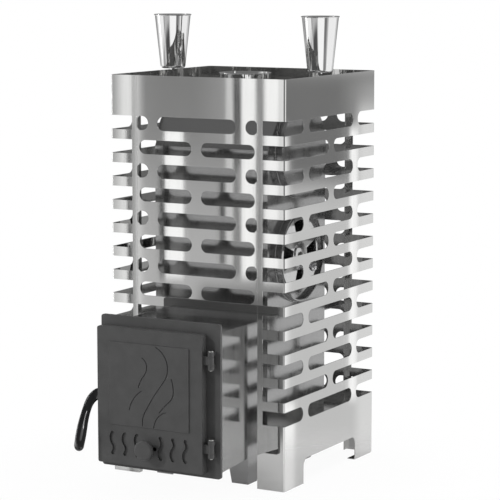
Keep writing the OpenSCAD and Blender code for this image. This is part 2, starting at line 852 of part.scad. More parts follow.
module damper_bolts() {
    stack = disc_gap + damper_t + hub_h;
    color([0.7, 0.7, 0.7]) for (left = [true, false]) on_barrel_end(damper_x, left) {
        translate([0, 0, -damper_t - 4]) cylinder(r = damper_bolt_r, h = damper_t + 4 + stack + disc_gap);
        translate([0, 0, stack + disc_gap - eps]) cylinder(r = 8, h = 1.5);
        translate([0, 0, stack + disc_gap + 1.5 - eps]) cylinder(r = 6.5, h = 4, $fn = 6);
        translate([0, 0, -damper_t - 4]) cylinder(r = 6.5, h = 4, $fn = 6);
    }
}

// Fuel tunnel, hearth and ash drawer

ramp_y = plate_back_y + ramp_l;

// Side outline of the tunnel, drawn in by a wall thickness
module tunnel_2d(y0, y1, inset = 0) {
    polygon([
        [y0, tunnel_front_z + inset], [ramp_y, leg_h + inset], [y1, leg_h + inset],
        [y1, tunnel_top - inset], [y0, tunnel_top - inset]
    ]);
}

module tunnel_bore(y0, y1) {
    half = tunnel_w / 2 - tunnel_wall;
    low = leg_h + furnace_wall;
    translate([-half, y0, low - over]) cube([2 * half, y1 - y0, tunnel_top - tunnel_wall - low + over]);
}

module fuel_tunnel() {
    half = tunnel_w / 2;
    color([0.68, 0.68, 0.68]) placed() difference() {
        along_x(-half, half) tunnel_2d(plate_back_y, furnace_front_y);
        along_x(-half + tunnel_wall, half - tunnel_wall)
            tunnel_2d(plate_back_y - over, furnace_front_y + over, tunnel_wall);
    }
}

hearth_half = tunnel_w / 2 - tunnel_wall - 0.3;
grate_y = furnace_y;

module hearth_plate() {
    grate_rim = 8;
    skirt_t = 3;
    skirt_z = leg_h + furnace_wall;
    color([0.35, 0.35, 0.35]) placed() difference() {
        union() {
            translate([-hearth_half, plate_back_y + 0.3, hearth_z])
                cube([2 * hearth_half, furnace_back_y - furnace_wall - 0.6 - plate_back_y, hearth_t]);
            for (x = [-hearth_half, hearth_half - skirt_t])
                translate([x, ramp_y + 2, skirt_z])
                    cube([skirt_t, furnace_back_y - furnace_wall - 0.3 - ramp_y - 2, hearth_z - skirt_z + eps]);
        }
        translate([-grate_w / 2 + grate_rim, grate_y - grate_l / 2 + grate_rim, hearth_z - over])
            cube([grate_w - 2 * grate_rim, grate_l - 2 * grate_rim, hearth_t + 2 * over]);
    }
}

module grate() {
    bars = 9;
    bar_pitch = (grate_w - 24) / bars;
    gap = 9;
    color([0.25, 0.25, 0.25]) placed() translate([0, grate_y, hearth_z + hearth_t]) difference() {
        translate([-grate_w / 2, -grate_l / 2, 0]) cube([grate_w, grate_l, grate_t]);
        for (i = [0:bars - 1])
            translate([(i - (bars - 1) / 2) * bar_pitch, 0, -over]) linear_extrude(height = grate_t + 2 * over)
                round_rect_2d(-gap / 2, -grate_l / 2 + 16, gap / 2, grate_l / 2 - 16, gap / 2 - eps);
    }
}

drawer_wall = 1.5;
drawer_w = ash_w - 8;

// Moves a piece from the middle of the drawer's front edge to its place in the tunnel
module drawer_place() {
    color([0.45, 0.45, 0.45]) placed()
        translate([ash_x + ash_w / 2, plate_front_y + 1, leg_h + furnace_wall + 0.3]) children();
}

// The drawer's floor and sides, one folded sheet
module ash_drawer() {
    drawer_place() difference() {
        translate([-drawer_w / 2, drawer_wall, 0]) cube([drawer_w, drawer_l - 2 * drawer_wall, drawer_h]);
        translate([-drawer_w / 2 + drawer_wall, drawer_wall - over, drawer_wall])
            cube([drawer_w - 2 * drawer_wall, drawer_l, drawer_h]);
    }
}

// The drawer's front and back, with a grip lip along the front
module drawer_ends() {
    drawer_place() {
        for (y = [0, drawer_l - drawer_wall]) translate([-drawer_w / 2, y, 0])
            cube([drawer_w, drawer_wall, drawer_h]);
        translate([-drawer_w / 2 + 20, -9, drawer_h - 12]) cube([drawer_w - 40, 9 + eps, drawer_wall]);
    }
}

// Front plate

module front_plate() {
    color([0.24, 0.24, 0.24]) placed() difference() {
        union() {
            along_y(plate_front_y, plate_back_y) difference() {
                round_rect_2d(plate_left, plate_z, plate_right, plate_top, 6);
                round_rect_2d(stoke_x, stoke_z, stoke_x + stoke_w, stoke_z + stoke_h, 10);
                round_rect_2d(ash_x, ash_z, ash_x + ash_w, ash_z + ash_h, 5);
            }
            for (z = [hinge_z1, hinge_z2]) {
                plate_knuckle(z);
                plate_knuckle(z + hinge_h - knuckle_h);
            }
        }
        for (z = [hinge_z1, hinge_z2]) translate([hinge_axis_x, hinge_axis_y, z - over])
            cylinder(r = pin_r + pin_fit, h = hinge_h + 2 * over);
        keeper_place() translate([0, 0, -over - plate_t]) cylinder(r = keeper_r + 0.02, h = plate_t + 2 * over);
    }
}

knuckle_h = hinge_h / 4;
knuckle_gap = 0.3;

module plate_knuckle(z) {
    translate([hinge_axis_x, hinge_axis_y, z]) cylinder(r = knuckle_r, h = knuckle_h);
    translate([hinge_axis_x - 5, hinge_axis_y, z]) cube([10, plate_front_y - hinge_axis_y + eps, knuckle_h]);
}

module hinge_pins() {
    color([0.4, 0.4, 0.4]) placed() for (z = [hinge_z1, hinge_z2])
        translate([hinge_axis_x, hinge_axis_y, z]) {
            translate([0, 0, -2]) cylinder(r = pin_r, h = hinge_h + 2);
            translate([0, 0, hinge_h]) cylinder(r = knuckle_r - 1, h = 2.5);
        }
}

// Places a shape drawn along Z on the plate's face, pointing to the front, at the keeper
module keeper_place() {
    arm = [latch_axis_x + hook_lean, latch_z + hook_l];
    x = arm[0] - hook_w / 2 - keeper_swing - keeper_r - 0.9;
    translate([x, plate_front_y, arm[1]]) rotate([90, 0, 0]) children();
}

hook_lean = -4;

module latch_keeper() {
    stem = plate_front_y - latch_back_y + hook_t;
    color([0.45, 0.45, 0.45]) placed() keeper_place() {
        translate([0, 0, -plate_t + 1]) cylinder(r = keeper_r, h = plate_t - 1 + stem + 0.6);
        translate([0, 0, stem + 0.5]) cylinder(r = keeper_head_r, h = 2.2);
    }
}

// Door

module rope_ring_2d(grow) {
    round_rect_2d(stoke_x - rope_x - grow, stoke_z - rope_x - grow,
        stoke_x + stoke_w + rope_x + grow, stoke_z + stoke_h + rope_x + grow, 14 + grow);
}

// One S-shaped air slot about the origin, its ends above and below
module air_slot_2d(flip) {
    chord = (air_slot_l - air_slot_w) / 2;
    r = chord / (2 * sin(air_bend / 2));
    mirror([flip ? 1 : 0, 0])
        trail_2d([0, chord], -90 - air_bend / 2, [[r, air_bend], [r, -air_bend]], air_slot_w);
}

// Three slots on each side of the knob, the right ones mirrored
module air_slots_2d(shift = 0) {
    for (side = [-1, 1], k = [0:2])
        translate([air_x + shift + side * (air_pitch - 1.5 + air_pitch * k), air_z])
            air_slot_2d(side > 0);
}

// Three flames, each an upper line that swings over and a lower line that rises to meet it
module flames_2d() {
    translate([panel_left, panel_low])
        scale([(panel_right - panel_left) / 207, (panel_high - panel_low) / 188])
            translate([133, -150]) flame_lines_2d();
}

module flame_lines_2d() {
    trail_2d([-45, 307], -26, [[21, -64], [34, -40], [70, 24]], flame_w);
    trail_2d([-48, 232], -148, [[70, 46]], flame_w);
    trail_2d([-9, 334], -24, [[50, -105], [500, 10]], flame_w);
    trail_2d([-30, 195], -138, [[46, 56]], flame_w);
    trail_2d([30, 266], -68, [[73, -22], [32, -50], [170, 12]], flame_w);
    trail_2d([16, 190], -165, [[43, 70]], flame_w);
}

panel_left = door_left + 31;
panel_right = door_right - 33;
panel_low = stoke_z - 4;
panel_high = door_top - 32;

module door_casting() {
    rim_in = door_rim_w;
    top = door_top;
    notch_low = latch_z - 27;
    notch_high = latch_z + 32;
    color([0.29, 0.29, 0.29]) placed() difference() {
        union() {
            along_y(door_front_y, skin_back_y)
                round_rect_2d(door_left, door_z, door_right, top, door_corner_r);
            along_y(door_front_y, door_back_y) difference() {
                round_rect_2d(door_left, door_z, door_right, top, door_corner_r);
                round_rect_2d(door_left + rim_in, door_z + rim_in, door_right - rim_in, top - rim_in, 3);
            }
            along_y(door_front_y - panel_relief, door_front_y + eps)
                round_rect_2d(panel_left, panel_low, panel_right, panel_high, 3);
            seal_channel();
            shutter_rails();
            shield_bosses();
            door_knuckles();
        }
        along_y(door_front_y - panel_relief - over, skin_back_y + over) air_slots_2d();
        along_y(door_front_y - panel_relief - over, door_front_y - panel_relief + flame_depth)
            flames_2d();
        along_y(door_front_y - over, skin_back_y + over) shank_slot_2d();
        along_y(skin_back_y - pocket_d, skin_back_y)
            translate([rail_left, shutter_low - rail_gap])
                square([rail_right - rail_left, shutter_top - shutter_low + 2 * rail_gap]);
        along_y(skin_back_y, door_back_y + over)
            translate([door_left - over, notch_low])
                square([rim_in + 2 * over, notch_high - notch_low]);
        for (z = [hinge_z1, hinge_z2]) translate([hinge_axis_x, hinge_axis_y, z - over])
            cylinder(r = pin_r + pin_fit, h = hinge_h + 2 * over);
        translate([latch_axis_x, skin_back_y - 4, latch_z]) rotate([-90, 0, 0])
            cylinder(r = latch_pin_r + 0.02, h = 4 + over);
        shield_bolt_places() translate([0, 0, -8]) cylinder(r = shield_bolt_r + 0.02, h = 8 + over);
    }
}

module seal_channel() {
    outer = rope_r + rope_gap;
    along_y(skin_back_y - eps, seal_floor_y) difference() {
        rope_ring_2d(outer + seal_rib);
        rope_ring_2d(-outer - seal_rib);
    }
    along_y(seal_floor_y - eps, seal_floor_y + 5.5) {
        difference() {
            rope_ring_2d(outer + seal_rib);
            rope_ring_2d(outer);
        }
        difference() {
            rope_ring_2d(-outer);
            rope_ring_2d(-outer - seal_rib);
        }
    }
}

rail_left = door_left + door_rim_w;
rail_right = door_right - door_rim_w;

// Two lips over the edges of the pocket, which hold the shutter
module shutter_rails() {
    depth = 3;
    foot = 3.4;
    lip = 3.5;
    for (top = [false, true]) {
        edge = top ? shutter_top + rail_gap : shutter_low - rail_gap - foot;
        lip_z = top ? edge - lip : edge;
        translate([rail_left, skin_back_y - eps, lip_z])
            cube([rail_right - rail_left, depth + eps, foot + lip]);
    }
}

module shank_slot_2d() {
    r = shank_r + 0.3;
    translate([air_x, air_knob_z]) circle(r);
    translate([air_x + shutter_travel, air_knob_z]) circle(r);
    translate([air_x, air_knob_z - r]) square([shutter_travel, 2 * r]);
}

shield_t = 2;
shield_y = door_back_y - 3;
shield_inset = 12;
shield_bolt_r = 2.5;

// Places a shape drawn along Z on the shield's front face, at each of its four bolts
module shield_bolt_places() {
    in_x = shield_inset + 14;
    for (x = [stoke_x + in_x, stoke_x + stoke_w - in_x], z = [stoke_z + in_x, stoke_z + stoke_h - in_x])
        translate([x, shield_y, z]) rotate([-90, 0, 0]) children();
}

module shield_bosses() {
    length = shield_y - skin_back_y;
    shield_bolt_places() translate([0, 0, -length - eps]) cylinder(r = 6, h = length + eps);
}

module door_knuckles() {
    low = knuckle_h + knuckle_gap;
    h = hinge_h - 2 * low;
    for (z = [hinge_z1, hinge_z2]) translate([0, 0, z + low]) {
        translate([hinge_axis_x, hinge_axis_y, 0]) cylinder(r = knuckle_r, h = h);
        translate([door_right - eps, hinge_axis_y - 4.5, 0]) cube([hinge_x, 9, h]);
    }
}

module door_seal() {
    x0 = stoke_x - rope_x;
    x1 = stoke_x + stoke_w + rope_x;
    z0 = stoke_z - rope_x;
    z1 = stoke_z + stoke_h + rope_x;
    r = 14;
    color([0.85, 0.84, 0.8]) placed() translate([0, seal_y, 0]) {
        for (z = [z0, z1]) translate([x0 + r, 0, z]) rotate([0, 90, 0]) cylinder(r = rope_r, h = x1 - x0 - 2 * r);
        for (x = [x0, x1]) translate([x, 0, z0 + r]) cylinder(r = rope_r, h = z1 - z0 - 2 * r);
        for (c = [[x1 - r, z1 - r, 0], [x0 + r, z1 - r, 90], [x0 + r, z0 + r, 180], [x1 - r, z0 + r, 270]])
            translate([c[0], 0, c[1]]) rotate([90, -c[2], 0]) rotate([0, 0, 0])
                rotate_extrude(angle = 90) translate([r, 0]) circle(rope_r);
    }
}

module door_shield() {
    color([0.5, 0.5, 0.5]) placed() difference() {
        along_y(shield_y, shield_y + shield_t)
            round_rect_2d(stoke_x + shield_inset, stoke_z + shield_inset,
                stoke_x + stoke_w - shield_inset, stoke_z + stoke_h - shield_inset, 8);
        shield_bolt_places() translate([0, 0, -over]) cylinder(r = shield_bolt_r + 0.1, h = shield_t + 2 * over);
    }
}

module shield_bolts() {
    color([0.6, 0.6, 0.6]) placed() shield_bolt_places() {
        translate([0, 0, -8]) cylinder(r = shield_bolt_r, h = 8 + shield_t + 1);
        translate([0, 0, shield_t]) cylinder(r = 4.5, h = 3, $fn = 6);
    }
}

// Latch

latch_pin_r = 3.5;

module latch_pin() {
    color([0.5, 0.5, 0.5]) placed() translate([latch_axis_x, skin_back_y - 4, latch_z]) rotate([-90, 0, 0]) {
        cylinder(r = latch_pin_r, h = latch_back_y + 0.6 - skin_back_y + 4);
        translate([0, 0, latch_back_y + 0.3 - skin_back_y + 4]) cylinder(r = 6, h = 2.4);
    }
}

// The tongue that reaches out through the notch, in X and Z
module tongue_2d() {
    tip = [grip_centre(0)[0] + 0.2, grip_centre(0)[2]];
    half = grip_shape[0][3] / 2 - 1.5;
    polygon([
        [latch_axis_x, latch_z + latch_boss_r - 1], tip + [0, half], tip + [0, -half],
        [latch_axis_x, latch_z - latch_boss_r + 1]
    ]);
}

module latch_lever() {
    arm = [latch_axis_x + hook_lean, latch_z + hook_l];
    color([0.3, 0.3, 0.3]) placed() difference() {
        union() {
            along_y(latch_front_y, latch_back_y) {
                translate([latch_axis_x, latch_z]) circle(latch_boss_r);
                tongue_2d();
            }
            along_y(latch_back_y - hook_t, latch_back_y) {
                translate([arm[0], arm[1]]) circle(hook_w / 2);
                polygon([
                    [latch_axis_x - hook_w / 2, latch_z], [latch_axis_x + hook_w / 2, latch_z],
                    [arm[0] + hook_w / 2, arm[1]], [arm[0] - hook_w / 2, arm[1]]
                ]);
            }
            tenon(tenon_r, over, tenon_l + over);
        }
        translate([latch_axis_x, latch_front_y - over, latch_z]) rotate([-90, 0, 0])
            cylinder(r = latch_pin_r + pin_fit, h = latch_back_y - latch_front_y + 2 * over);
    }
}

module grip_body() {
    rings = grip_rings();
    n = len(rings);
    points = [for (ring = rings) each ring];
    walls = [for (i = [0:n - 2], k = [0:grip_sides - 1]) let (k2 = (k + 1) % grip_sides)
        each [[i * grip_sides + k, i * grip_sides + k2, (i + 1) * grip_sides + k],
              [i * grip_sides + k2, (i + 1) * grip_sides + k2, (i + 1) * grip_sides + k]]];
    ends = [[for (k = [grip_sides - 1:-1:0]) k],
            [for (k = [0:grip_sides - 1]) (n - 1) * grip_sides + k]];
    polyhedron(points, concat(walls, ends), convexity = 4);
}

// The round tenon that joins the tongue and the grip
module tenon(r, from, length) {
    root = grip_centre(0);
    translate([root[0] + from, root[1], root[2]]) rotate([0, -90, 0]) cylinder(r = r, h = length);
}

module door_handle() {
    color([0.06, 0.06, 0.06]) placed() difference() {
        grip_body();
        tenon(tenon_r + 0.05, over, tenon_l + over + 0.5);
    }
}

// Air shutter

module air_shutter() {
    left = rail_left + 3;
    right = air_x + 3.4 * air_pitch;
    color([0.27, 0.27, 0.27]) placed() difference() {
        along_y(shutter_y, shutter_y + shutter_t) difference() {
            translate([left, shutter_low]) square([right - left, shutter_top - shutter_low]);
            air_slots_2d(-shutter_travel);
        }
        translate([air_x, shutter_y - over, air_knob_z]) rotate([-90, 0, 0])
            cylinder(r = shank_r + 0.02, h = shutter_t + 2 * over);
    }
}

module air_knob() {
    front = door_front_y - knob_reach;
    length = shutter_y + shutter_t - 0.2 - front;
    neck = knob_reach - 1.5;
    color([0.29, 0.29, 0.29]) placed() translate([air_x, front, air_knob_z]) rotate([-90, 0, 0])
        rotate_extrude() polygon(concat(
            [[0, 0]],
            arc_points(air_knob_r - 4, 4, 4, -90, 0, 6),
            arc_points(air_knob_r - 4, 9, 4, 0, 60, 4),
            [[12, 16], [10, neck - 3], [11, neck], [shank_r, neck], [shank_r, length], [0, length]]
        ));
}

// Water supply

elbow_r = 12;
pipe_top = casing_h + funnel_lift - 0.3;
spigot_l = 34;

module water_pipe(left) {
    z_in = steam_z + barrel_r - inlet_in;
    bore = pipe_r - pipe_wall;
    color([0.8, 0.8, 0.8]) placed() mirrored_x(left) {
        translate([funnel_x, 0, z_in + elbow_r]) difference() {
            cylinder(r = pipe_r, h = pipe_top - z_in - elbow_r);
            translate([0, 0, -over]) cylinder(r = bore, h = pipe_top - z_in - elbow_r + 2 * over);
        }
        translate([funnel_x - elbow_r, 0, z_in + elbow_r]) rotate([90, 0, 0]) rotate([0, 0, -90])
            rotate_extrude(angle = 90) translate([elbow_r, 0]) difference() {
                circle(pipe_r);
                circle(bore);
            }
        translate([barrel_end - 6, 0, z_in]) rotate([0, 90, 0]) difference() {
            cylinder(r = pipe_r, h = funnel_x - elbow_r - barrel_end + 6);
            translate([0, 0, -over]) cylinder(r = bore, h = funnel_x - elbow_r - barrel_end + 6 + 2 * over);
        }
        translate([barrel_end + cover_t, 0, z_in]) rotate([0, 90, 0]) difference() {
            cylinder(r = pipe_r + 3.5, h = 7, $fn = 6);
            translate([0, 0, -over]) cylinder(r = pipe_r - 0.2, h = 7 + 2 * over);
        }
    }
}

module water_pipe_left() { water_pipe(true); }
module water_pipe_right() { water_pipe(false); }

module funnel(left) {
    foot_z = casing_h + funnel_lift;
    edge_r = 7;
    spigot_r = pipe_r - pipe_wall - pin_fit;
    outlet_r = spigot_r - 0.9;
    lip_r = 1.6;
    color([0.85, 0.85, 0.85]) placed() mirrored_x(left) translate([funnel_x, 0, foot_z]) rotate_extrude() {
        polygon(concat(
            [[outlet_r, -spigot_l], [spigot_r, -spigot_l], [spigot_r, 0]],
            arc_points(funnel_foot_r - edge_r, edge_r, edge_r, -90, 0, 6),
            [[funnel_top_r, funnel_h - lip_r], [funnel_top_r - funnel_wall, funnel_h - lip_r]],
            arc_points(funnel_foot_r - edge_r, edge_r + 0.4, edge_r - funnel_wall, 0, -90, 6),
            [[outlet_r, funnel_wall]]
        ));
        translate([funnel_top_r + 0.4, funnel_h - lip_r]) circle(lip_r);
    }
}

module funnel_left() { funnel(true); }
module funnel_right() { funnel(false); }

side_panel_left();
side_panel_right();
foot_plates();
front_grid();
back_grid();
panel_screws();
rear_brackets();
furnace_front();
furnace_back();
furnace_side_left();
furnace_side_right();
furnace_roof();
furnace_floor();
furnace_legs();
flue_collar();
stone_barrel();
steam_barrel();
steam_cover_left();
steam_cover_right();
damper_plate_left();
damper_plate_right();
damper_disc_left();
damper_disc_right();
damper_knob_left();
damper_knob_right();
damper_bolts();
fuel_tunnel();
hearth_plate();
grate();
ash_drawer();
drawer_ends();
front_plate();
hinge_pins();
latch_keeper();
door_casting();
door_seal();
door_shield();
shield_bolts();
latch_pin();
latch_lever();
door_handle();
air_shutter();
air_knob();
water_pipe_left();
water_pipe_right();
funnel_left();
funnel_right();
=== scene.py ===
"""Looks for a wood-fired sauna heater: slotted stainless casing, fuel tunnel and cast door."""

import json
import logging
import math
from dataclasses import dataclass, field
from enum import Enum

import bpy
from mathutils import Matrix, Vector


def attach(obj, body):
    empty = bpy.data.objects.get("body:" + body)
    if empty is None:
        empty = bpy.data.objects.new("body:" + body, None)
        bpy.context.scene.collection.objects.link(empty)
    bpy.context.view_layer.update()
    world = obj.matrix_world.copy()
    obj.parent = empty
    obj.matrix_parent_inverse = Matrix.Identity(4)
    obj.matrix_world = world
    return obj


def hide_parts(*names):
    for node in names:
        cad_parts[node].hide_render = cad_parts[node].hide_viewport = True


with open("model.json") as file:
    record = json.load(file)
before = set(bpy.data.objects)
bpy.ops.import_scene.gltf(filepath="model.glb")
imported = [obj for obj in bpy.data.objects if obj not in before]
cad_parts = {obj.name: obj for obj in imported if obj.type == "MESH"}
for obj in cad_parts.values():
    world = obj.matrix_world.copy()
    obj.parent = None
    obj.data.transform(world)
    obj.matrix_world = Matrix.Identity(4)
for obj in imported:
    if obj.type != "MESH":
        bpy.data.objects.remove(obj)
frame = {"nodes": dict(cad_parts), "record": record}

LOG = logging.getLogger("sauna_heater")
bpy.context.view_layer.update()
# Distance from the middle of the casing to the middle of the whole footprint
SHIFT_Y = 0.0992064
# Distance from the middle of the casing to a water funnel's axis, in millimetres
FUNNEL_X = 195.0
MM = 0.001
# Edges that turn by more degrees than this stay crisp
CREASE = 40.0

Tree = bpy.types.NodeTree
Socket = bpy.types.NodeSocket
Faces = list[tuple[int, ...]]
Shape = tuple[list[Vector], Faces]
Outline = list[tuple[float, float]]


def linear(colour: str) -> tuple[float, float, float, float]:
    """Turn a screen colour into linear light.

    Args:
        colour: An sRGB colour as #rrggbb.

    Returns:
        Linear red, green, blue and an alpha of 1.
    """
    parts = [int(colour[i : i + 2], 16) / 255 for i in (1, 3, 5)]
    return (*[c / 12.92 if c <= 0.04045 else ((c + 0.055) / 1.055) ** 2.4 for c in parts], 1.0)


def place(x: float, y: float, z: float) -> Vector:
    """Turn casing-centred millimetres into metres in the frame.

    Args:
        x: To the right, seen from the front.
        y: To the back, from the middle of the casing.
        z: Up from the floor.

    Returns:
        The point in the frame.
    """
    return Vector((x * MM, y * MM + SHIFT_Y, z * MM))


def add_node(
    tree: Tree, kind: str, inputs: dict[str | int, object] | None = None, **settings: object
) -> bpy.types.Node:
    """Add one node, set it up and link its inputs.

    Args:
        tree: The node tree.
        kind: The node's class name.
        inputs: Socket name or index to a value, or to an output socket to link from.
        **settings: Attributes of the node.

    Returns:
        The new node.
    """
    node = tree.nodes.new(kind)
    for name, value in settings.items():
        setattr(node, name, value)
    for name, value in (inputs or {}).items():
        if isinstance(value, bpy.types.NodeSocket):
            tree.links.new(value, node.inputs[name])
        else:
            node.inputs[name].default_value = value
    return node


class Surface(Enum):
    """How a surface was made, which settles its patterns."""

    ROLLED = "rolled"
    POLISHED = "polished"
    TURNED = "turned"
    CAST = "cast"
    FIRED = "fired"
    WOVEN = "woven"


# Cells of each pattern along x, y and z in millimetres
# Rolling lines run up the sheet, drawn far coarser than the real ones so that they show
ROLLING_LINES = (5.56, 5.56, 133.0)
# Cloudy patches, as wiping leaves
PATCHES = (40.0, 40.0, 40.0)
# Shallow hollows, as bending leaves in thin sheet
HOLLOWS = (312.0, 312.0, 893.0)
# Scratches, drawn coarser than the real ones so that they show
SCRATCHES = (1.11, 1.11, 37.0)
# Grains of moulding sand, or the weave of a rope
GRAINS = (1.54, 1.54, 1.54)
# Middle part of a noise's values, which a pattern spreads over its whole range
NOISE_RANGE = (0.35, 0.65)
# Least and greatest roughness as shares of the mean, on rolled sheet and elsewhere
ROLLED_SWING = (0.8, 1.25)
PATCH_SWING = (0.85, 1.15)


@dataclass(frozen=True)
class Finish:
    """One named finish, built once as a material.

    Attributes:
        name: The material's name, which says what it is and how its surface was made.
        surface: How its surface was made.
        colour: Its base colour as #rrggbb.
        roughness: Its mean roughness.
        metallic: Share of mirrored light, a little under 1 where handling dulls a metal.
        spread: How far the colour strays, as a share of it.
        blotch: Size of the colour's blotches in millimetres.
        grain: Depth of its fine relief in millimetres.
        wave: Depth of its slow relief in millimetres, as in thin bent sheet.
        edge: Radius of the softened edges in millimetres, 0 for none.
    """

    name: str
    surface: Surface
    colour: str
    roughness: float
    metallic: float = 0.0
    spread: float = 0.02
    blotch: float = 167.0
    grain: float = 0.0
    wave: float = 0.0
    edge: float = 0.0

    def build(self) -> bpy.types.Material:
        """Make the material.

        Returns:
            The new material.
        """
        material = bpy.data.materials.new(self.name)
        material.use_nodes = True
        tree = material.node_tree
        tree.nodes.clear()
        where = add_node(tree, "ShaderNodeTexCoord").outputs["Object"]
        shader = add_node(
            tree,
            "ShaderNodeBsdfPrincipled",
            {
                "Base Color": self._colour(tree, where),
                "Roughness": self._roughness(tree, where),
                "Metallic": self.metallic,
                "Normal": self._normal(tree, where),
            },
        )
        if self.surface is Surface.FIRED:
            # The clear glaze that firing leaves
            shader.inputs["Coat Weight"].default_value = 0.6
            shader.inputs["Coat Roughness"].default_value = 0.06
        if self.surface is Surface.WOVEN:
            # Loose fibres that catch the light
            shader.inputs["Sheen Weight"].default_value = 0.3
        add_node(tree, "ShaderNodeOutputMaterial", {"Surface": shader.outputs[0]})
        return material

    def _noise(
        self, tree: Tree, where: Socket, cells: tuple[float, float, float], detail: float = 3.0
    ) -> Socket:
        """Add a noise texture in object space.

        Args:
            tree: The material's node tree.
            where: The coordinate socket.
            cells: Size of its cells along each axis in millimetres.
            detail: Octaves of the noise.

        Returns:
            The noise's value socket.
        """
        scale = tuple(1 / (size * MM) for size in cells)
        mapped = add_node(tree, "ShaderNodeMapping", {"Vector": where, "Scale": scale})
        noise = add_node(
            tree,
            "ShaderNodeTexNoise",
            {"Vector": mapped.outputs[0], "Scale": 1.0, "Detail": detail},
        )
        return noise.outputs["Fac"]

    def _spread(self, tree: Tree, factor: Socket, low: float, high: float) -> Socket:
        """Map the middle of a noise to a range of values.

        Args:
            tree: The material's node tree.
            factor: The noise's value socket.
            low: The least result.
            high: The greatest result.

        Returns:
            The mapped socket.
        """
        least, most = NOISE_RANGE
        return add_node(
            tree,
            "ShaderNodeMapRange",
            {"Value": factor, "From Min": least, "From Max": most, "To Min": low, "To Max": high},
        ).outputs[0]

    def _colour(self, tree: Tree, where: Socket) -> Socket:
        """Vary the base colour a little over the surface.

        Args:
            tree: The material's node tree.
            where: The coordinate socket.

        Returns:
            The colour socket.
        """
        base = linear(self.colour)[:3]
        dark = [c * (1 - self.spread) for c in base] + [1.0]
        light = [min(1.0, c * (1 + self.spread)) for c in base] + [1.0]
        blotches = self._noise(tree, where, (self.blotch,) * 3)
        factor = self._spread(tree, blotches, 0.0, 1.0)
        # Inputs 6 and 7 and output 2 of a mix node are its colours
        mixed = add_node(
            tree, "ShaderNodeMix", {0: factor, 6: dark, 7: light}, data_type="RGBA"
        )
        return mixed.outputs[2]

    def _roughness(self, tree: Tree, where: Socket) -> Socket:
        """Vary the roughness, with upright rolling lines on sheet and patches elsewhere.

        Args:
            tree: The material's node tree.
            where: The coordinate socket.

        Returns:
            The roughness socket.
        """
        rolled = self.surface is Surface.ROLLED
        low, high = ROLLED_SWING if rolled else PATCH_SWING
        pattern = self._noise(tree, where, ROLLING_LINES if rolled else PATCHES)
        return self._spread(
            tree, pattern, self.roughness * low, min(1.0, self.roughness * high)
        )

    def _normal(self, tree: Tree, where: Socket) -> Socket:
        """Stack the softened edges, the slow relief and the fine relief.

        Args:
            tree: The material's node tree.
            where: The coordinate socket.

        Returns:
            The normal socket.
        """
        if self.edge:
            radius = self.edge * MM
            bevel = add_node(tree, "ShaderNodeBevel", {"Radius": radius}, samples=4)
            normal = bevel.outputs[0]
        else:
            normal = add_node(tree, "ShaderNodeNewGeometry").outputs["Normal"]
        if self.wave:
            slow = self._noise(tree, where, HOLLOWS, 1.0)
            normal = self._bump(tree, slow, normal, self.wave)
        if self.grain:
            scratched = self.surface in (Surface.ROLLED, Surface.TURNED)
            fine = self._noise(tree, where, SCRATCHES if scratched else GRAINS, 4.0)
            normal = self._bump(tree, fine, normal, self.grain)
        return normal

    def _bump(self, tree: Tree, height: Socket, normal: Socket, depth: float) -> Socket:
        """Lay relief over a normal.

        Args:
            tree: The material's node tree.
            height: The relief, from 0 to 1.
            normal: The normal under it.
            depth: Depth of the relief in millimetres.

        Returns:
            The new normal socket.
        """
        return add_node(
            tree,
            "ShaderNodeBump",
            {"Height": height, "Normal": normal, "Strength": 1.0, "Distance": depth * MM},
        ).outputs[0]


FINISHES = {
    # Cold-rolled sheet: close to a mirror, with the room in slightly wavy strips
    "casing_steel": Finish(
        "rolled stainless sheet", Surface.ROLLED, "#d7d7d6", 0.02,
        metallic=0.96, wave=0.008, edge=0.4,
    ),
    # Rolled plate with the mill's satin: the same strips, darker and blurred
    "furnace_steel": Finish(
        "satin rolled stainless plate", Surface.ROLLED, "#a6a6a6", 0.14,
        metallic=0.96, wave=0.04, edge=0.8,
    ),
    # Polished after forming: sharp strips of high contrast
    "mirror_steel": Finish(
        "mirror-polished stainless", Surface.POLISHED, "#dcdcdc", 0.03,
        metallic=0.98, wave=0.05, edge=0.4,
    ),
    # Heat-resistant paint on sand-cast iron: dark grey with a soft sheen and rounded edges
    "cast_black": Finish(
        "painted cast iron", Surface.CAST, "#3e3e3e", 0.5,
        spread=0.07, blotch=28.6, grain=0.01, edge=1.2,
    ),
    # Bare sand-cast iron: brownish grey, rough and blotchy
    "raw_cast": Finish(
        "raw cast iron", Surface.CAST, "#4a4744", 0.7,
        spread=0.3, blotch=22.2, grain=0.2, edge=1.0,
    ),
    # Enamel fired on the grip: black with a clear, narrow highlight
    "cast_gloss": Finish("fired black enamel", Surface.FIRED, "#0b0b0c", 0.1),
    # Turned and plated steel: pale, with a broad highlight
    "fastener_steel": Finish(
        "turned and plated steel", Surface.TURNED, "#b8b8b6", 0.2,
        metallic=0.95, grain=0.01, edge=0.3,
    ),
    # Polished chrome on the damper balls: a small clean mirror
    "chrome_ball": Finish(
        "polished chrome", Surface.POLISHED, "#e4e4e6", 0.03, metallic=0.98
    ),
    # Sheet disc, cut and pressed: a mirror that the press has bent
    "damper_steel": Finish(
        "pressed stainless sheet", Surface.ROLLED, "#cfcfcf", 0.08,
        metallic=0.96, wave=0.3, edge=0.6,
    ),
    # Woven glass fibre: warm off-white with a soft sheen
    "rope": Finish(
        "woven glass fibre", Surface.WOVEN, "#cfc8b8", 0.9, spread=0.25, blotch=3.33, grain=0.1
    ),
    # Blackened sheet: dull and uneven
    "drawer_steel": Finish(
        "blackened steel sheet", Surface.ROLLED, "#4c4c4d", 0.4,
        metallic=0.96, grain=0.01, wave=0.8, edge=0.5,
    ),
}


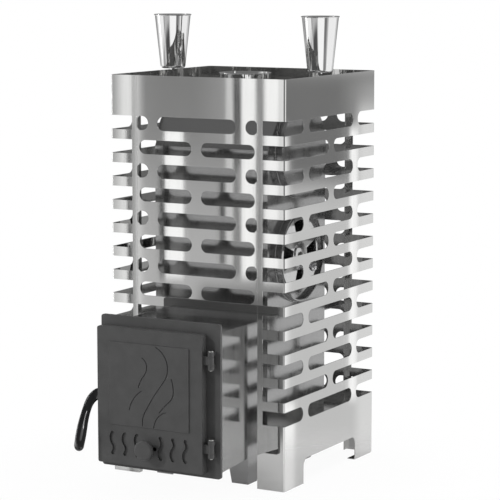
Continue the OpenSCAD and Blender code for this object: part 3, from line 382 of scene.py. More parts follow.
@dataclass
class Dressing:
    """Gives every CAD node that stays its finish.

    Attributes:
        materials: The materials made so far, by the record's slot name.
    """

    materials: dict[str, bpy.types.Material] = field(default_factory=dict)

    def material(self, slot: str) -> bpy.types.Material:
        """Build a finish at its first use.

        Args:
            slot: The finish's slot in the record.

        Returns:
            Its material.
        """
        if slot not in self.materials:
            self.materials[slot] = FINISHES[slot].build()
        return self.materials[slot]

    def dress_nodes(self) -> None:
        """Give each CAD node the material of its slot in the record."""
        slots = {part["node"]: part["material_slot"] for part in frame["record"]["subparts"]}
        for name, obj in frame["nodes"].items():
            material = self.material(slots[name])
            for slot in obj.material_slots:
                slot.material = material
            LOG.info("%s has %s", name, material.name)


@dataclass
class Piece:
    """One finely made piece that stands for a CAD node.

    Attributes:
        name: The piece's name.
        body: The body that it moves with.
        slot: Its material slot in the record.
        nodes: The CAD nodes that it stands for.
    """

    name: str
    body: str
    slot: str
    nodes: tuple[str, ...]

    def shape(self) -> Shape:
        """Give the points in metres, and the faces as indices of points."""
        raise NotImplementedError

    def build(self, dressing: Dressing) -> bpy.types.Object:
        """Make the piece and tie it to the frame.

        Args:
            dressing: Where the finish comes from.

        Returns:
            The new object.
        """
        points, faces = self.shape()
        mesh = bpy.data.meshes.new(self.name)
        mesh.from_pydata(points, [], faces)
        mesh.polygons.foreach_set("use_smooth", [True] * len(mesh.polygons))
        mesh.set_sharp_from_angle(angle=math.radians(CREASE))
        mesh.materials.append(dressing.material(self.slot))
        piece = bpy.data.objects.new(self.name, mesh)
        bpy.context.scene.collection.objects.link(piece)
        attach(piece, self.body)
        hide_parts(*self.nodes)
        return piece


def skin(rings: list[list[Vector]], closed: bool) -> Shape:
    """Join rings of equal length by four-sided faces.

    Args:
        rings: The rings of points.
        closed: True if the last ring is joined to the first, False if both ends are capped.

    Returns:
        The points and the faces.
    """
    count, around = len(rings), len(rings[0])
    faces = []
    for i in range(count if closed else count - 1):
        a, b = i * around, (i + 1) % count * around
        faces += [
            (a + k, a + (k + 1) % around, b + (k + 1) % around, b + k) for k in range(around)
        ]
    if not closed:
        faces.append(tuple(reversed(range(around))))
        faces.append(tuple((count - 1) * around + k for k in range(around)))
    return [point for ring in rings for point in ring], faces


def arc(x: float, y: float, r: float, start: float, end: float, steps: int) -> Outline:
    """Give points along an arc.

    Args:
        x: The centre's first coordinate.
        y: The centre's second coordinate.
        r: The radius.
        start: The first angle in degrees.
        end: The last angle in degrees.
        steps: Number of parts.

    Returns:
        The points.
    """
    angles = [math.radians(start + (end - start) * i / steps) for i in range(steps + 1)]
    return [(x + r * math.cos(a), y + r * math.sin(a)) for a in angles]


@dataclass
class Turned(Piece):
    """A thin-walled piece spun about an upright axis.

    Attributes:
        axis: The axis's place in casing-centred millimetres.
        parts: Number of parts round the axis.
    """

    axis: tuple[float, float] = (0.0, 0.0)
    parts: int = 144

    def outline(self) -> Outline:
        """Give the closed outline, as radius and height above the floor in millimetres."""
        raise NotImplementedError

    def shape(self) -> Shape:
        """Spin the outline.

        Returns:
            The points and the faces.
        """
        x, y = self.axis
        outline = self.outline()
        rings = []
        for i in range(self.parts):
            a = math.tau * i / self.parts
            rings.append([place(x + r * math.cos(a), y + r * math.sin(a), z) for r, z in outline])
        points, faces = skin(rings, True)
        return points, [tuple(reversed(face)) for face in faces]


@dataclass
class WaterFunnel(Turned):
    """A water funnel: spigot, rounded foot, tapered wall and rolled lip, in millimetres.

    Attributes:
        foot: Height of its foot above the floor.
        top: Height of its lip.
        foot_r: Radius of its foot.
        top_r: Radius of its wall at the lip.
        wall: Thickness of its foot.
        corner: Outer radius of the foot's rounded edge.
        corner_rise: How much higher the middle of its inner radius is.
        lip: Radius of the rolled lip.
        lip_out: How far the lip's middle stands out from the wall.
        lip_from: Where the roll starts, in degrees up from the level.
        spigot_r: Outer radius of the spigot.
        outlet_r: Radius of the spigot's bore.
        spigot_l: Length of the spigot.
        slope: Degrees that the wall leans out.
        corner_parts: Parts in each arc of the foot's edge.
        lip_parts: Parts in the lip's arc.
    """

    foot: float = 925.0
    top: float = 1052.0
    foot_r: float = 29.5
    top_r: float = 42.0
    wall: float = 1.2
    corner: float = 7.0
    corner_rise: float = 0.4
    lip: float = 1.6
    lip_out: float = 0.4
    lip_from: float = -104.0
    spigot_r: float = 3.94
    outlet_r: float = 3.04
    spigot_l: float = 34.0
    slope: float = 6.0
    corner_parts: int = 14
    lip_parts: int = 26

    def outline(self) -> Outline:
        """Give the closed outline.

        Returns:
            Radius and height above the floor in millimetres.
        """
        low, parts = self.foot - self.spigot_l, self.corner_parts
        x, y = self.foot_r - self.corner, self.foot + self.corner
        points = [(self.outlet_r, low), (self.spigot_r, low), (self.spigot_r, self.foot)]
        points += arc(x, y, self.corner, -90, -self.slope, parts)
        lip_x, lip_y = self.top_r + self.lip_out, self.top - self.lip
        points += arc(lip_x, lip_y, self.lip, self.lip_from, 180, self.lip_parts)
        inner = self.corner - self.wall
        points += arc(x, y + self.corner_rise, inner, -self.slope, -90, parts)
        return [*points, (self.outlet_r, self.foot + self.wall)]


@dataclass
class FlueCollar(Turned):
    """The flue collar: a tube with a rolled lip, in millimetres.

    Attributes:
        bore: Radius of the bore.
        wall: Thickness of the tube.
        low: Height of its lower end above the floor.
        top: Height of its lip.
        lip: Radius of the rolled lip.
        neck: Depth of the turn from the tube to the lip.
        easing: Depth of the bore's eased edge.
        lip_parts: Parts in the lip's arc.
    """

    bore: float = 57.5
    wall: float = 1.5
    low: float = 855.0
    top: float = 920.0
    lip: float = 1.0
    neck: float = 0.6
    easing: float = 0.5
    lip_parts: int = 16

    def outline(self) -> Outline:
        """Give the closed outline.

        Returns:
            Radius and height above the floor in millimetres.
        """
        outer, under = self.bore + self.wall, self.top - 2 * self.lip
        points = [(self.bore, self.low), (outer, self.low), (outer, under - self.neck)]
        points += [(outer + self.neck / 3, under - self.neck / 4), (outer + self.neck, under)]
        points += arc(outer + self.lip, self.top - self.lip, self.lip, -90, 90, self.lip_parts)
        points.append((self.bore + self.easing, self.top))
        points.append((self.bore + 0.3 * self.easing, self.top - 0.3 * self.easing))
        return [*points, (self.bore, self.top - self.easing)]


@dataclass
class SealRope(Piece):
    """The door's seal, four strands of rope laid round a core.

    Attributes:
        box: The rope's middle line: left, right, low and high in millimetres.
        y: Its place from front to back.
        corner: Radius of its corners.
        radius: Radius of the rope.
        lay: Length of one turn of a strand.
        strands: Number of strands.
        core: Radius of the core, as a share of the rope's.
        offset: Distance of a strand from the middle line, as a share of the rope's radius.
        strand: Radius of a strand, as a share of the rope's.
        core_rings: Rings along the core.
        core_sides: Points in each of its rings.
        turn_rings: Rings in one turn of a strand.
        strand_sides: Points in each of its rings.
    """

    box: tuple[float, float, float, float] = (-128.0, 84.0, 146.0, 350.0)
    y: float = -367.8
    corner: float = 14.0
    radius: float = 4.5
    lay: float = 24.0
    strands: int = 4
    core: float = 0.6
    offset: float = 0.5
    strand: float = 0.47
    core_rings: int = 160
    core_sides: int = 12
    turn_rings: int = 16
    strand_sides: int = 10

    def _along(self, distance: float) -> tuple[Vector, Vector]:
        """Walk along the middle line.

        Args:
            distance: Millimetres from the start.

        Returns:
            The point and the outward direction, both in the plane of the ring.
        """
        left, right, low, high = self.box
        r = self.corner
        bend = math.pi * r / 2
        level, upright = right - left - 2 * r, high - low - 2 * r
        legs = (
            (level, 0, (left + r, low)),
            (upright, 90, (right, low + r)),
            (level, 180, (right - r, high)),
            (upright, 270, (left, high - r)),
        )
        for length, heading, start in legs:
            ahead = Vector((math.cos(math.radians(heading)), math.sin(math.radians(heading))))
            out = Vector((ahead.y, -ahead.x))
            if distance < length:
                return Vector(start) + ahead * distance, out
            distance -= length
            if distance < bend:
                turn = distance / r
                centre = Vector(start) + ahead * length - out * r
                facing = out * math.cos(turn) + ahead * math.sin(turn)
                return centre + facing * r, facing
            distance -= bend
        return Vector(legs[0][2]), Vector((0.0, -1.0))

    def _tube(
        self, length: float, steps: int, offset: float, size: float, phase: float, turns: int,
        sides: int,
    ) -> list[list[Vector]]:
        """Make one closed strand.

        Args:
            length: Length of the middle line.
            steps: Number of rings.
            offset: Distance of the strand from the middle line.
            size: Radius of the strand.
            phase: Where it starts round the middle line, in radians.
            turns: Number of turns in all.
            sides: Points in each ring.

        Returns:
            The rings.
        """
        rings = []
        for i in range(steps):
            point, out = self._along(length * i / steps)
            a = phase + math.tau * turns * i / steps
            u, v = point + out * offset * math.cos(a), self.y + offset * math.sin(a)
            ring = []
            for k in range(sides):
                b = math.tau * k / sides
                across = u + out * size * math.cos(b)
                ring.append(place(across.x, v + size * math.sin(b), across.y))
            rings.append(ring)
        return rings

    def shape(self) -> Shape:
        """Lay the strands round the core.

        Returns:
            The points and the faces.
        """
        left, right, low, high = self.box
        length = 2 * (right - left + high - low) - (8 - math.tau) * self.corner
        turns = round(length / self.lay)
        steps, sides = turns * self.turn_rings, self.strand_sides
        offset, size = self.radius * self.offset, self.radius * self.strand
        core = self.radius * self.core
        tubes = [self._tube(length, self.core_rings, 0.0, core, 0.0, 0, self.core_sides)]
        for k in range(self.strands):
            phase = math.tau * k / self.strands
            tubes.append(self._tube(length, steps, offset, size, phase, turns, sides))
        points, faces = [], []
        for rings in tubes:
            more, quads = skin(rings, True)
            faces += [tuple(index + len(points) for index in quad) for quad in quads]
            points += more
        return points, faces


@dataclass
class LeverGrip(Piece):
    """The lever's glossy grip, swept along a bent line, with a finger groove in front.

    Attributes:
        pivot: The latch's pivot and the door's back, in millimetres.
        stations: Places along the middle line from the pivot, and the width there.
        thickness: Thickness from front to back.
        inset: How far the grip stays inside its CAD solid.
        neck: Share of the thickness at the pivot.
        swell: Growth of that share from station to station.
        groove: Share of the thickness that the groove takes away.
        groove_from: Where the groove starts, as a share of the line.
        groove_to: Where it ends.
        groove_width: Its width, as a share of the grip's.
        sides: Points in each ring.
        rings: Rings between two stations.
        tip_rings: Rings in the rounded tip.
        tip_angle: Degrees of the tip's curve before its flat end.
    """

    pivot: tuple[float, float, float] = (-144.0, -365.0, 216.0)
    stations: tuple[tuple[float, float, float, float], ...] = (
        (-21.2, -7.3, -3, 27), (-28, -8, -5, 26), (-35.5, -10.5, -10, 24),
        (-41, -15.5, -18, 23), (-44, -21.5, -28, 22), (-45.3, -27.5, -39, 22),
        (-46, -33.5, -51, 23), (-46.7, -39, -64.5, 24.5), (-47.5, -43.5, -79.5, 26.5),
        (-48.8, -47.6, -97, 27), (-50.6, -51.6, -117, 25.5),
    )
    thickness: float = 13.0
    inset: float = 0.1
    neck: float = 0.7
    swell: float = 0.12
    groove: float = 0.55
    groove_from: float = 0.42
    groove_to: float = 0.97
    groove_width: float = 0.6
    sides: int = 72
    rings: int = 6
    tip_rings: int = 12
    tip_angle: float = 84.0

    def _at(self, t: float) -> Vector:
        """Give the smooth line through the stations.

        Args:
            t: The station's number, fractions between two of them.

        Returns:
            The place from the pivot and the width.
        """
        last = len(self.stations) - 1
        i = min(int(t), last - 1)
        u = t - i
        a, b, c, d = (Vector(self.stations[min(max(i + k, 0), last)]) for k in (-1, 0, 1, 2))
        square, cube = 2 * a - 5 * b + 4 * c - d, 3 * b - a - 3 * c + d
        return (2 * b + (c - a) * u + square * u**2 + cube * u**3) / 2

    def _ring(self, t: float, scale: float, ahead: float) -> list[Vector]:
        """Make one ring.

        Args:
            t: The station's number.
            scale: Size of the ring, under 1 in the rounded tip.
            ahead: How far the ring stands beyond its station, as a share of the half width.

        Returns:
            The ring's points.
        """
        last = len(self.stations) - 1
        here = self._at(t)
        if t == 0:
            along = Vector((-1.0, 0.0, 0.0))
        else:
            step = self._at(min(t + 0.5, last)) - self._at(max(t - 0.5, 0))
            along = step.to_3d().normalized()
        wide = Vector((0.0, 1.0, 0.0)).cross(along).normalized()
        thin = along.cross(wide)
        share = t / last
        deep = 0.0
        if self.groove_from <= share <= self.groove_to:
            run = (share - self.groove_from) / (self.groove_to - self.groove_from)
            deep = max(0.0, math.sin(run * math.pi)) ** 0.5
        half = here[3] / 2 - self.inset
        swell = min(1.0, self.neck + self.swell * t)
        thick = self.thickness * swell / 2 - self.inset
        middle = Vector(self.pivot) + here.to_3d() + along * ahead * half
        ring = []
        for k in range(self.sides):
            a = math.tau * k / self.sides
            hollow = 0.0
            if math.sin(a) < 0:
                hollow = max(0.0, 1 - (math.cos(a) / self.groove_width) ** 2)
            front = 1 - self.groove * deep * hollow
            point = middle + scale * (
                wide * math.cos(a) * half + thin * math.sin(a) * front * thick
            )
            ring.append(place(*point))
        return ring

    def shape(self) -> Shape:
        """Sweep the rings and round the tip.

        Returns:
            The points and the faces.
        """
        last = len(self.stations) - 1
        rings = [self._ring(i / self.rings, 1.0, 0.0) for i in range(last * self.rings + 1)]
        for j in range(1, self.tip_rings + 1):
            a = math.radians(self.tip_angle * j / self.tip_rings)
            rings.append(self._ring(float(last), math.cos(a), math.sin(a)))
        points, faces = skin(rings, False)
        return points, [tuple(reversed(face)) for face in faces]


@dataclass
class WeldSeams:
    """Weld beads laid along seams by a geometry-nodes group.

    Attributes:
        side_x: Distance of the seams on the furnace's sides from the middle, in millimetres.
        barrel_y: Place of the barrels' axes from front to back, in millimetres.
        barrel_heights: Heights of the barrels' axes above the floor, in millimetres.
        barrel_r: Radius of the seams round the barrels, in millimetres.
        collar_z: Height of the seam round the flue collar, in millimetres.
        collar_r: Radius of that seam, in millimetres.
        bead: Radius of one bead in metres.
        spacing: Distance between two beads in metres.
        smallest: Least scale of a bead along each axis.
        largest: Greatest scale of a bead along each axis.
        seed: Seed of the beads' small differences.
        parts: Straight parts in each seam.
    """

    side_x: float = 148.0
    barrel_y: float = -19.5
    barrel_heights: tuple[float, float] = (506.0, 746.0)
    barrel_r: float = 107.6
    collar_z: float = 863.0
    collar_r: float = 60.4
    bead: float = 0.0022
    spacing: float = 0.0024
    smallest: float = 0.85
    largest: float = 1.1
    seed: int = 7
    parts: int = 180

    def _paths(self) -> bpy.types.Mesh:
        """Make the seams' middle lines.

        Returns:
            A mesh of closed edge loops.
        """
        angles = [math.tau * i / self.parts for i in range(self.parts)]
        circle = [(math.cos(a), math.sin(a)) for a in angles]
        r, y = self.barrel_r, self.barrel_y
        points, edges = [], []
        for z in self.barrel_heights:
            for x in (self.side_x, -self.side_x):
                points += [place(x, y + r * u, z + r * v) for u, v in circle]
        r = self.collar_r
        points += [place(r * u, r * v, self.collar_z) for u, v in circle]
        for start in range(0, len(points), self.parts):
            edges += [(start + i, start + (i + 1) % self.parts) for i in range(self.parts)]
        mesh = bpy.data.meshes.new("weld_paths")
        mesh.from_pydata(points, edges, [])
        return mesh

    def _group(self) -> tuple[Tree, dict[str, str]]:
        """Make the group that lays the beads.

        Returns:
            The group and its inputs' identifiers by name.
        """
        group = bpy.data.node_groups.new("weld_beads", "GeometryNodeTree")
        face = group.interface
        face.new_socket("Paths", in_out="INPUT", socket_type="NodeSocketGeometry")
        names = {
            name: face.new_socket(name, in_out="INPUT", socket_type=kind).identifier
            for name, kind in (
                ("Spacing", "NodeSocketFloat"),
                ("Bead radius", "NodeSocketFloat"),
                ("Seed", "NodeSocketInt"),
                ("Finish", "NodeSocketMaterial"),
            )
        }
        face.new_socket("Beads", in_out="OUTPUT", socket_type="NodeSocketGeometry")
        given = group.nodes.new("NodeGroupInput").outputs
        curve = add_node(group, "GeometryNodeMeshToCurve", {"Mesh": given["Paths"]})
        spots = add_node(
            group,
            "GeometryNodeCurveToPoints",
            {"Curve": curve.outputs[0], "Length": given["Spacing"]},
            mode="LENGTH",
        )
        bead = add_node(
            group,
            "GeometryNodeMeshIcoSphere",
            {"Radius": given["Bead radius"], "Subdivisions": 2},
        )
        vary = add_node(
            group,
            "FunctionNodeRandomValue",
            {"Min": (self.smallest,) * 3, "Max": (self.largest,) * 3, "Seed": given["Seed"]},
            data_type="FLOAT_VECTOR",
        )
        laid = add_node(
            group,
            "GeometryNodeInstanceOnPoints",
            {
                "Points": spots.outputs["Points"],
                "Instance": bead.outputs["Mesh"],
                "Scale": vary.outputs[0],
            },
        )
        real = add_node(group, "GeometryNodeRealizeInstances", {0: laid.outputs[0]})
        smooth = add_node(group, "GeometryNodeSetShadeSmooth", {"Geometry": real.outputs[0]})
        finish = add_node(
            group,
            "GeometryNodeSetMaterial",
            {"Geometry": smooth.outputs[0], "Material": given["Finish"]},
        )
        add_node(group, "NodeGroupOutput", {"Beads": finish.outputs[0]})
        return group, names

    def build(self, dressing: Dressing) -> bpy.types.Object:
        """Lay the beads and keep them as one mesh.

        Args:
            dressing: Where the finish comes from.

        Returns:
            The new object.
        """
        draft = bpy.data.objects.new("weld_draft", self._paths())
        bpy.context.scene.collection.objects.link(draft)
        group, names = self._group()
        modifier = draft.modifiers.new("beads", "NODES")
        modifier.node_group = group
        modifier[names["Spacing"]] = self.spacing
        modifier[names["Bead radius"]] = self.bead
        modifier[names["Seed"]] = self.seed
        modifier[names["Finish"]] = dressing.material("furnace_steel")
        evaluated = draft.evaluated_get(bpy.context.evaluated_depsgraph_get())
        mesh = bpy.data.meshes.new_from_object(evaluated)
        bpy.data.objects.remove(draft)
        beads = bpy.data.objects.new("weld_seams", mesh)
        bpy.context.scene.collection.objects.link(beads)
        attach(beads, "stove")
        return beads


@dataclass(frozen=True)
class Card:
    """One soft-edged card around the object, seen only in reflections.

    Attributes:
        level: Its brightness.
        left: Its left edge in degrees from the front, seen from the object.
        right: Its right edge in degrees.
        low: Its lower edge in degrees above the horizon.
        high: Its upper edge in degrees.
        blur: Width of its soft upright edges in degrees.
        fade: Height of its soft level edges in degrees.
    """

    level: float
    left: float
    right: float
    low: float
    high: float
    blur: float
    fade: float


@dataclass(frozen=True)
class Surroundings:
    """White to the eye, and a studio of cards in reflections.

    Attributes:
        ramp: Elevation in degrees and brightness of the studio behind the cards.
        cards: The cards, each drawn over those before it.
    """

    ramp: tuple[tuple[float, float], ...] = (
        (-60.0, 0.75), (-14.0, 0.62), (-8.0, 0.58), (-6.3, 0.48), (-4.6, 0.28),
        (-2.5, 0.25), (4.0, 0.24), (25.0, 0.16), (60.0, 0.25), (90.0, 0.22),
    )
    cards: tuple[Card, ...] = (
        # Broad cards that bent and round sheet mirrors
        Card(1.15, -95.0, -34.2, -40.0, 14.0, 6.0, 6.0),
        Card(0.28, -26.0, 78.0, -40.0, -15.5, 4.0, 3.0),
        Card(0.22, 18.0, 72.0, -16.0, -2.0, 10.0, 2.0),
        Card(1.15, 82.0, 148.0, -45.0, 8.0, 6.0, 6.0),
        # Low cards that the round funnels mirror
        Card(0.33, -175.0, -128.0, -40.0, -12.0, 6.0, 2.0),
        Card(1.4, -126.0, -102.0, -40.0, -11.5, 6.0, 2.0),
        Card(0.42, -99.0, -38.0, -40.0, -13.0, 5.0, 2.0),
        Card(0.08, -24.0, 5.0, -40.0, -14.0, 4.0, 1.5),
        Card(1.25, 11.0, 54.0, -40.0, -12.0, 5.0, 2.0),
        # Strips that the right face mirrors
        Card(0.70, 148.5, 176.0, -40.0, -6.35, 0.3, 1.5),
        Card(0.95, 150.8, 156.0, -2.9, 6.0, 0.8, 0.9),
        Card(0.16, 148.5, 156.0, -5.9, -3.1, 0.3, 0.9),
        Card(0.45, 153.9, 157.0, -5.9, -3.2, 1.2, 0.8),
        Card(1.35, 153.74, 153.97, -11.9, -4.5, 0.05, 0.5),
        Card(0.9, 153.97, 156.5, -30.0, -4.0, 0.3, 1.0),
        Card(1.25, 151.6, 152.05, -16.0, -4.6, 0.25, 0.8),
        Card(1.3, 151.9, 152.25, -30.0, -12.0, 0.15, 0.5),
        # A bright strip to the left for the highlights on black parts and edges
        Card(9.0, -74.0, -70.0, -10.0, 40.0, 1.0, 6.0),
        # Strips that the front mirrors: low, high, then from left to right
        Card(0.17, -30.4, -27.4, -13.2, -8.9, 0.5, 0.8),
        Card(0.36, -30.1, -27.0, -5.4, -2.0, 1.0, 0.9),
        Card(1.1, -32.59, -32.04, -20.0, -2.0, 0.4, 0.6),
        Card(0.08, -32.37, -32.23, -16.0, -4.4, 0.06, 0.3),
        Card(0.45, -32.22, -32.12, -16.0, -2.0, 0.03, 0.3),
        Card(0.05, -31.49, -31.33, -8.6, -5.6, 0.05, 0.6),
        Card(1.35, -31.33, -30.82, -8.6, -4.5, 0.03, 0.4),
        Card(0.06, -29.83, -29.68, -8.3, -5.8, 0.06, 0.4),
        Card(0.8, -29.66, -29.45, -8.3, -2.0, 0.06, 0.3),
        Card(0.24, -29.45, -29.24, -8.6, -2.0, 0.06, 0.4),
        Card(0.07, -29.44, -29.25, -5.6, -2.0, 0.06, 0.6),
        Card(1.3, -29.23, -28.83, -8.6, -2.0, 0.05, 0.4),
        Card(0.3, -28.83, -28.62, -9.0, -2.0, 0.06, 0.4),
        Card(1.3, -28.61, -28.2, -8.7, -2.0, 0.06, 0.4),
        Card(1.0, -28.2, -27.6, -8.7, -2.0, 0.1, 0.4),
    )

    def build(self) -> None:
        """Make the world."""
        world = bpy.data.worlds.new("studio")
        bpy.context.scene.world = world
        world.use_nodes = True
        tree = world.node_tree
        tree.nodes.clear()
        rays = add_node(tree, "ShaderNodeLightPath")
        azimuth, elevation = self._angles(tree)
        level = self._ramp(tree, elevation)
        group = self._card_group()
        for card in self.cards:
            level = add_node(
                tree,
                "ShaderNodeGroup",
                {
                    "Azimuth": azimuth,
                    "Elevation": elevation,
                    "Under": level,
                    "Level": card.level,
                    "Left": card.left,
                    "Right": card.right,
                    "Low": card.low,
                    "High": card.high,
                    "Blur": card.blur,
                    "Fade": card.fade,
                },
                node_tree=group,
            ).outputs["Level"]
        white = (1.0, 1.0, 1.0, 1.0)
        seen = add_node(tree, "ShaderNodeBackground", {"Color": white, "Strength": 1.0})
        around = add_node(tree, "ShaderNodeBackground", {"Color": white, "Strength": level})
        mixed = add_node(
            tree,
            "ShaderNodeMixShader",
            {0: rays.outputs["Is Camera Ray"], 1: around.outputs[0], 2: seen.outputs[0]},
        )
        add_node(tree, "ShaderNodeOutputWorld", {"Surface": mixed.outputs[0]})

    def _angles(self, tree: Tree) -> tuple[Socket, Socket]:
        """Turn a direction into two angles.

        Args:
            tree: The world's node tree.

        Returns:
            Degrees from the front to the right, and degrees above the horizon.
        """
        direction = add_node(tree, "ShaderNodeTexCoord").outputs["Generated"]
        axes = add_node(tree, "ShaderNodeSeparateXYZ", {0: direction}).outputs
        front = add_node(tree, "ShaderNodeMath", {0: axes["Y"], 1: -1.0}, operation="MULTIPLY")
        turn = add_node(
            tree, "ShaderNodeMath", {0: axes["X"], 1: front.outputs[0]}, operation="ARCTAN2"
        )
        rise = add_node(tree, "ShaderNodeMath", {0: axes["Z"]}, operation="ARCSINE")
        azimuth, elevation = (
            add_node(tree, "ShaderNodeMath", {0: angle.outputs[0]}, operation="DEGREES")
            for angle in (turn, rise)
        )
        return azimuth.outputs[0], elevation.outputs[0]

    def _ramp(self, tree: Tree, elevation: Socket) -> Socket:
        """Give the brightness behind the cards.

        Args:
            tree: The world's node tree.
            elevation: Degrees above the horizon.

        Returns:
            The brightness socket.
        """
        low, high = self.ramp[0][0], self.ramp[-1][0]
        spot = add_node(
            tree, "ShaderNodeMapRange", {"Value": elevation, "From Min": low, "From Max": high}
        )
        ramp = add_node(tree, "ShaderNodeValToRGB", {"Fac": spot.outputs[0]})
        elements = ramp.color_ramp.elements
        while len(elements) < len(self.ramp):
            elements.new(0.5)
        for element, (degrees, value) in zip(elements, self.ramp):
            element.position = (degrees - low) / (high - low)
            element.color = (value, value, value, 1.0)
        return ramp.outputs["Color"]

    def _card_group(self) -> Tree:
        """Make the node group that draws one card over what is behind it.

        Returns:
            The group.
        """
        group = bpy.data.node_groups.new("card", "ShaderNodeTree")
        for name in (
            "Azimuth", "Elevation", "Under", "Level", "Left", "Right", "Low", "High", "Blur",
            "Fade",
        ):
            group.interface.new_socket(name, in_out="INPUT", socket_type="NodeSocketFloat")
        group.interface.new_socket("Level", in_out="OUTPUT", socket_type="NodeSocketFloat")
        given = group.nodes.new("NodeGroupInput").outputs
        masks = [
            self._edge(group, given["Azimuth"], given["Left"], given["Blur"], 1.0),
            self._edge(group, given["Azimuth"], given["Right"], given["Blur"], -1.0),
            self._edge(group, given["Elevation"], given["Low"], given["Fade"], 1.0),
            self._edge(group, given["Elevation"], given["High"], given["Fade"], -1.0),
        ]
        mask = masks[0]
        for other in masks[1:]:
            both = add_node(group, "ShaderNodeMath", {0: mask, 1: other}, operation="MULTIPLY")
            mask = both.outputs[0]
        mixed = add_node(
            group, "ShaderNodeMix", {0: mask, 2: given["Under"], 3: given["Level"]}
        )
        add_node(group, "NodeGroupOutput", {"Level": mixed.outputs[0]})
        return group

    def _edge(
        self, group: Tree, value: Socket, middle: Socket, width: Socket, side: float
    ) -> Socket:
        """Add one soft edge.

        Args:
            group: The card's node group.
            value: The angle to test.
            middle: The edge's middle.
            width: The edge's width.
            side: 1 if the card is above the edge, -1 if it is below.

        Returns:
            A socket that is 1 inside the card and 0 outside.
        """
        offset = add_node(group, "ShaderNodeMath", {0: value, 1: middle}, operation="SUBTRACT")
        turned = add_node(
            group, "ShaderNodeMath", {0: offset.outputs[0], 1: side}, operation="MULTIPLY"
        )
        scaled = add_node(
            group, "ShaderNodeMath", {0: turned.outputs[0], 1: width}, operation="DIVIDE"
        )
        return add_node(
            group,
            "ShaderNodeMapRange",
            {"Value": scaled.outputs[0], "From Min": -0.5, "From Max": 0.5},
            interpolation_type="SMOOTHSTEP",
        ).outputs[0]


@dataclass
class Floor:
    """A pale round floor with a painted shadow under the casing, fading into the surroundings, in
    metres.

    Attributes:
        radius: Radius of the floor.
        parts: Straight parts in its rim.
        fade_from: Distance at which it starts to fade.
        fade_to: Distance at which it is gone.
        clear: How clear it is in reflections before it fades.
        clear_to_eye: How clear it is to the camera, so that white shows and a faint shadow.
        paint: Its colour.
        dark: Its colour under the casing, a painted shadow of the casing.
        painted_shadow_to: Distance from the casing's middle at which the painted shadow starts to
            lift.
        pale_from: Distance at which it has lifted.
    """

    radius: float = 0.8
    parts: int = 96
    fade_from: float = 0.4
    fade_to: float = 0.75
    clear: float = 0.5
    clear_to_eye: float = 0.96
    paint: str = "#b4b4b4"
    # Painted shadow: the floor's colour under the casing
    dark: str = "#0c0c0c"
    painted_shadow_to: float = 0.19
    pale_from: float = 0.225

    def build(self) -> None:
        """Make the floor."""
        bpy.ops.mesh.primitive_circle_add(
            vertices=self.parts, radius=self.radius, fill_type="NGON"
        )
        floor = bpy.context.object
        floor.name = "floor"
        material = bpy.data.materials.new("floor")
        material.use_nodes = True
        tree = material.node_tree
        tree.nodes.clear()
        where = add_node(tree, "ShaderNodeTexCoord").outputs["Object"]
        # The floor's colour carries a painted shadow under the casing
        shadowed_paint = self._painted_shadow(tree, where)
        paint = add_node(tree, "ShaderNodeBsdfDiffuse", {"Color": shadowed_paint})
        clear = add_node(tree, "ShaderNodeBsdfTransparent")
        clearness = self._clearness(tree, where)
        mixed = add_node(
            tree,
            "ShaderNodeMixShader",
            {0: clearness, 1: paint.outputs[0], 2: clear.outputs[0]},
        )
        add_node(tree, "ShaderNodeOutputMaterial", {"Surface": mixed.outputs[0]})
        floor.data.materials.append(material)

    def _clearness(self, tree: Tree, where: Socket) -> Socket:
        """Fade the floor out with distance, and further for the camera.

        Args:
            tree: The floor's node tree.
            where: The coordinate socket.

        Returns:
            The share that is clear.
        """
        reach = add_node(tree, "ShaderNodeVectorMath", {0: where}, operation="LENGTH")
        eye = add_node(tree, "ShaderNodeLightPath").outputs["Is Camera Ray"]
        least = add_node(
            tree,
            "ShaderNodeMath",
            {0: eye, 1: self.clear_to_eye - self.clear, 2: self.clear},
            operation="MULTIPLY_ADD",
        )
        return add_node(
            tree,
            "ShaderNodeMapRange",
            {
                "Value": reach.outputs["Value"],
                "From Min": self.fade_from,
                "From Max": self.fade_to,
                "To Min": least.outputs[0],
            },
            interpolation_type="SMOOTHSTEP",
        ).outputs[0]

    def _painted_shadow(self, tree: Tree, where: Socket) -> Socket:
        """Paint the casing's shadow into the floor's colour: a dark square under the casing, where
        little light comes.

        Args:
            tree: The floor's node tree.
            where: The coordinate socket.

        Returns:
            The colour socket.
        """
        offset = add_node(
            tree, "ShaderNodeVectorMath", {0: where, 1: (0.0, SHIFT_Y, 0.0)}, operation="SUBTRACT"
        )
        apart = add_node(tree, "ShaderNodeVectorMath", {0: offset.outputs[0]}, operation="ABSOLUTE")
        axes = add_node(tree, "ShaderNodeSeparateXYZ", {0: apart.outputs[0]}).outputs
        inside = add_node(
            tree, "ShaderNodeMath", {0: axes["X"], 1: axes["Y"]}, operation="MAXIMUM"
        )
        shade = add_node(
            tree,
            "ShaderNodeMapRange",
            {"Value": inside.outputs[0], "From Min": self.painted_shadow_to, "From Max": self.pale_from},
            interpolation_type="SMOOTHSTEP",
        )
        # Painted shadow: dark colour under the casing, the pale paint outside it
        return add_node(
            tree,
            "ShaderNodeMix",
            {0: shade.outputs[0], 6: linear(self.dark), 7: linear(self.paint)},
            data_type="RGBA",
        ).outputs[2]


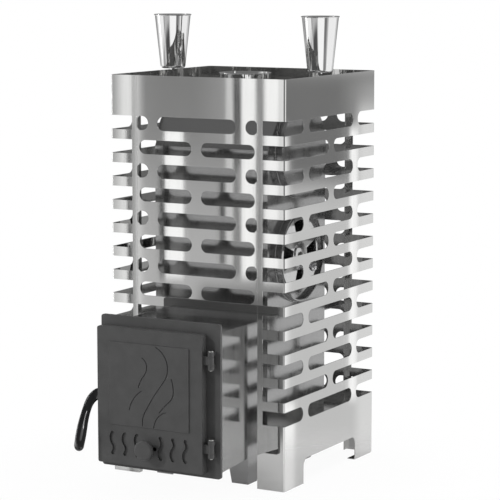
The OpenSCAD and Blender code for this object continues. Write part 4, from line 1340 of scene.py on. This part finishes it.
@dataclass(frozen=True)
class Softbox:
    """A soft light that points at the middle of the object and isn't mirrored.

    Attributes:
        name: The light's name.
        at: Its place in metres.
        width: Its width in metres.
        height: Its height in metres.
        power: Its power in watts.
        aim: The point that it faces, in metres.
    """

    name: str
    at: tuple[float, float, float]
    width: float
    height: float
    power: float
    aim: tuple[float, float, float] = (0.0, 0.0, 0.5)

    def build(self) -> None:
        """Make the light."""
        data = bpy.data.lights.new(self.name, "AREA")
        data.shape = "RECTANGLE"
        data.size, data.size_y, data.energy = self.width, self.height, self.power
        light = bpy.data.objects.new(self.name, data)
        light.location = self.at
        ahead = Vector(self.aim) - Vector(self.at)
        light.rotation_euler = ahead.to_track_quat("-Z", "Y").to_euler()
        light.visible_glossy = False
        bpy.context.scene.collection.objects.link(light)


@dataclass
class Studio:
    """Floor, light and camera.

    Attributes:
        eye: The camera's place in casing-centred millimetres.
        yaw: Degrees from the front to the camera, to the right.
        pitch: Degrees that the camera looks down.
        focal_px: Focal length in pixels of the square picture.
        picture_px: Width of the picture in pixels.
        film: Width of the film in millimetres.
        lights: The softboxes.
    """

    eye: tuple[float, float, float] = (2370.5, -4254.2, 1176.4)
    yaw: float = 28.995
    pitch: float = 7.858
    focal_px: float = 2097.5
    picture_px: float = 500.0
    film: float = 36.0
    lights: tuple[Softbox, ...] = (
        Softbox("fill", (1.8, -4.0, 1.3), 0.9, 0.9, 42),
        Softbox("key", (-2.3, -2.9, 2.1), 0.4, 0.4, 95),
        Softbox("top", (0.2, 0.1, 3.4), 2.6, 2.6, 80),
        Softbox("right", (3.2, -0.4, 2.0), 1.4, 2.4, 35),
        Softbox("back right", (2.0, 2.3, 1.2), 1.2, 1.6, 60),
        Softbox("back left", (-2.0, 2.3, 1.2), 1.2, 1.6, 60),
        Softbox("side right", (1.5, 0.4, 0.9), 0.8, 0.8, 15),
        Softbox("side left", (-1.5, 0.4, 0.9), 0.8, 0.8, 15),
    )

    def build(self) -> None:
        """Make the camera, the floor, the surroundings and the lights."""
        self._camera()
        Floor().build()
        Surroundings().build()
        for light in self.lights:
            light.build()

    def _camera(self) -> None:
        """Make the camera of the photograph."""
        data = bpy.data.cameras.new("camera")
        data.sensor_width = self.film
        data.lens = self.focal_px * self.film / self.picture_px
        camera = bpy.data.objects.new("camera", data)
        camera.location = place(*self.eye)
        camera.rotation_euler = (math.radians(90 - self.pitch), 0.0, math.radians(self.yaw))
        bpy.context.scene.collection.objects.link(camera)
        bpy.context.scene.camera = camera


def main() -> None:
    """Dress the frame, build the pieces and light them."""
    logging.basicConfig(level=logging.INFO)
    bpy.context.scene.view_settings.view_transform = "Standard"
    dressing = Dressing()
    dressing.dress_nodes()
    for maker in (
        WaterFunnel(
            "water_funnel_right", "funnel_right", "mirror_steel", ("funnel_right",), (FUNNEL_X, 0.0)
        ),
        WaterFunnel(
            "water_funnel_left", "funnel_left", "mirror_steel", ("funnel_left",), (-FUNNEL_X, 0.0)
        ),
        FlueCollar("rolled_collar", "stove", "mirror_steel", ("flue_collar",)),
        SealRope("laid_rope", "door", "rope", ("door_seal",)),
        LeverGrip("lever_grip", "latch", "cast_gloss", ("door_handle",)),
        WeldSeams(),
    ):
        piece = maker.build(dressing)
        LOG.info("%s is made, with %d faces", piece.name, len(piece.data.polygons))
    Studio().build()


if __name__ == "__main__":
    main()
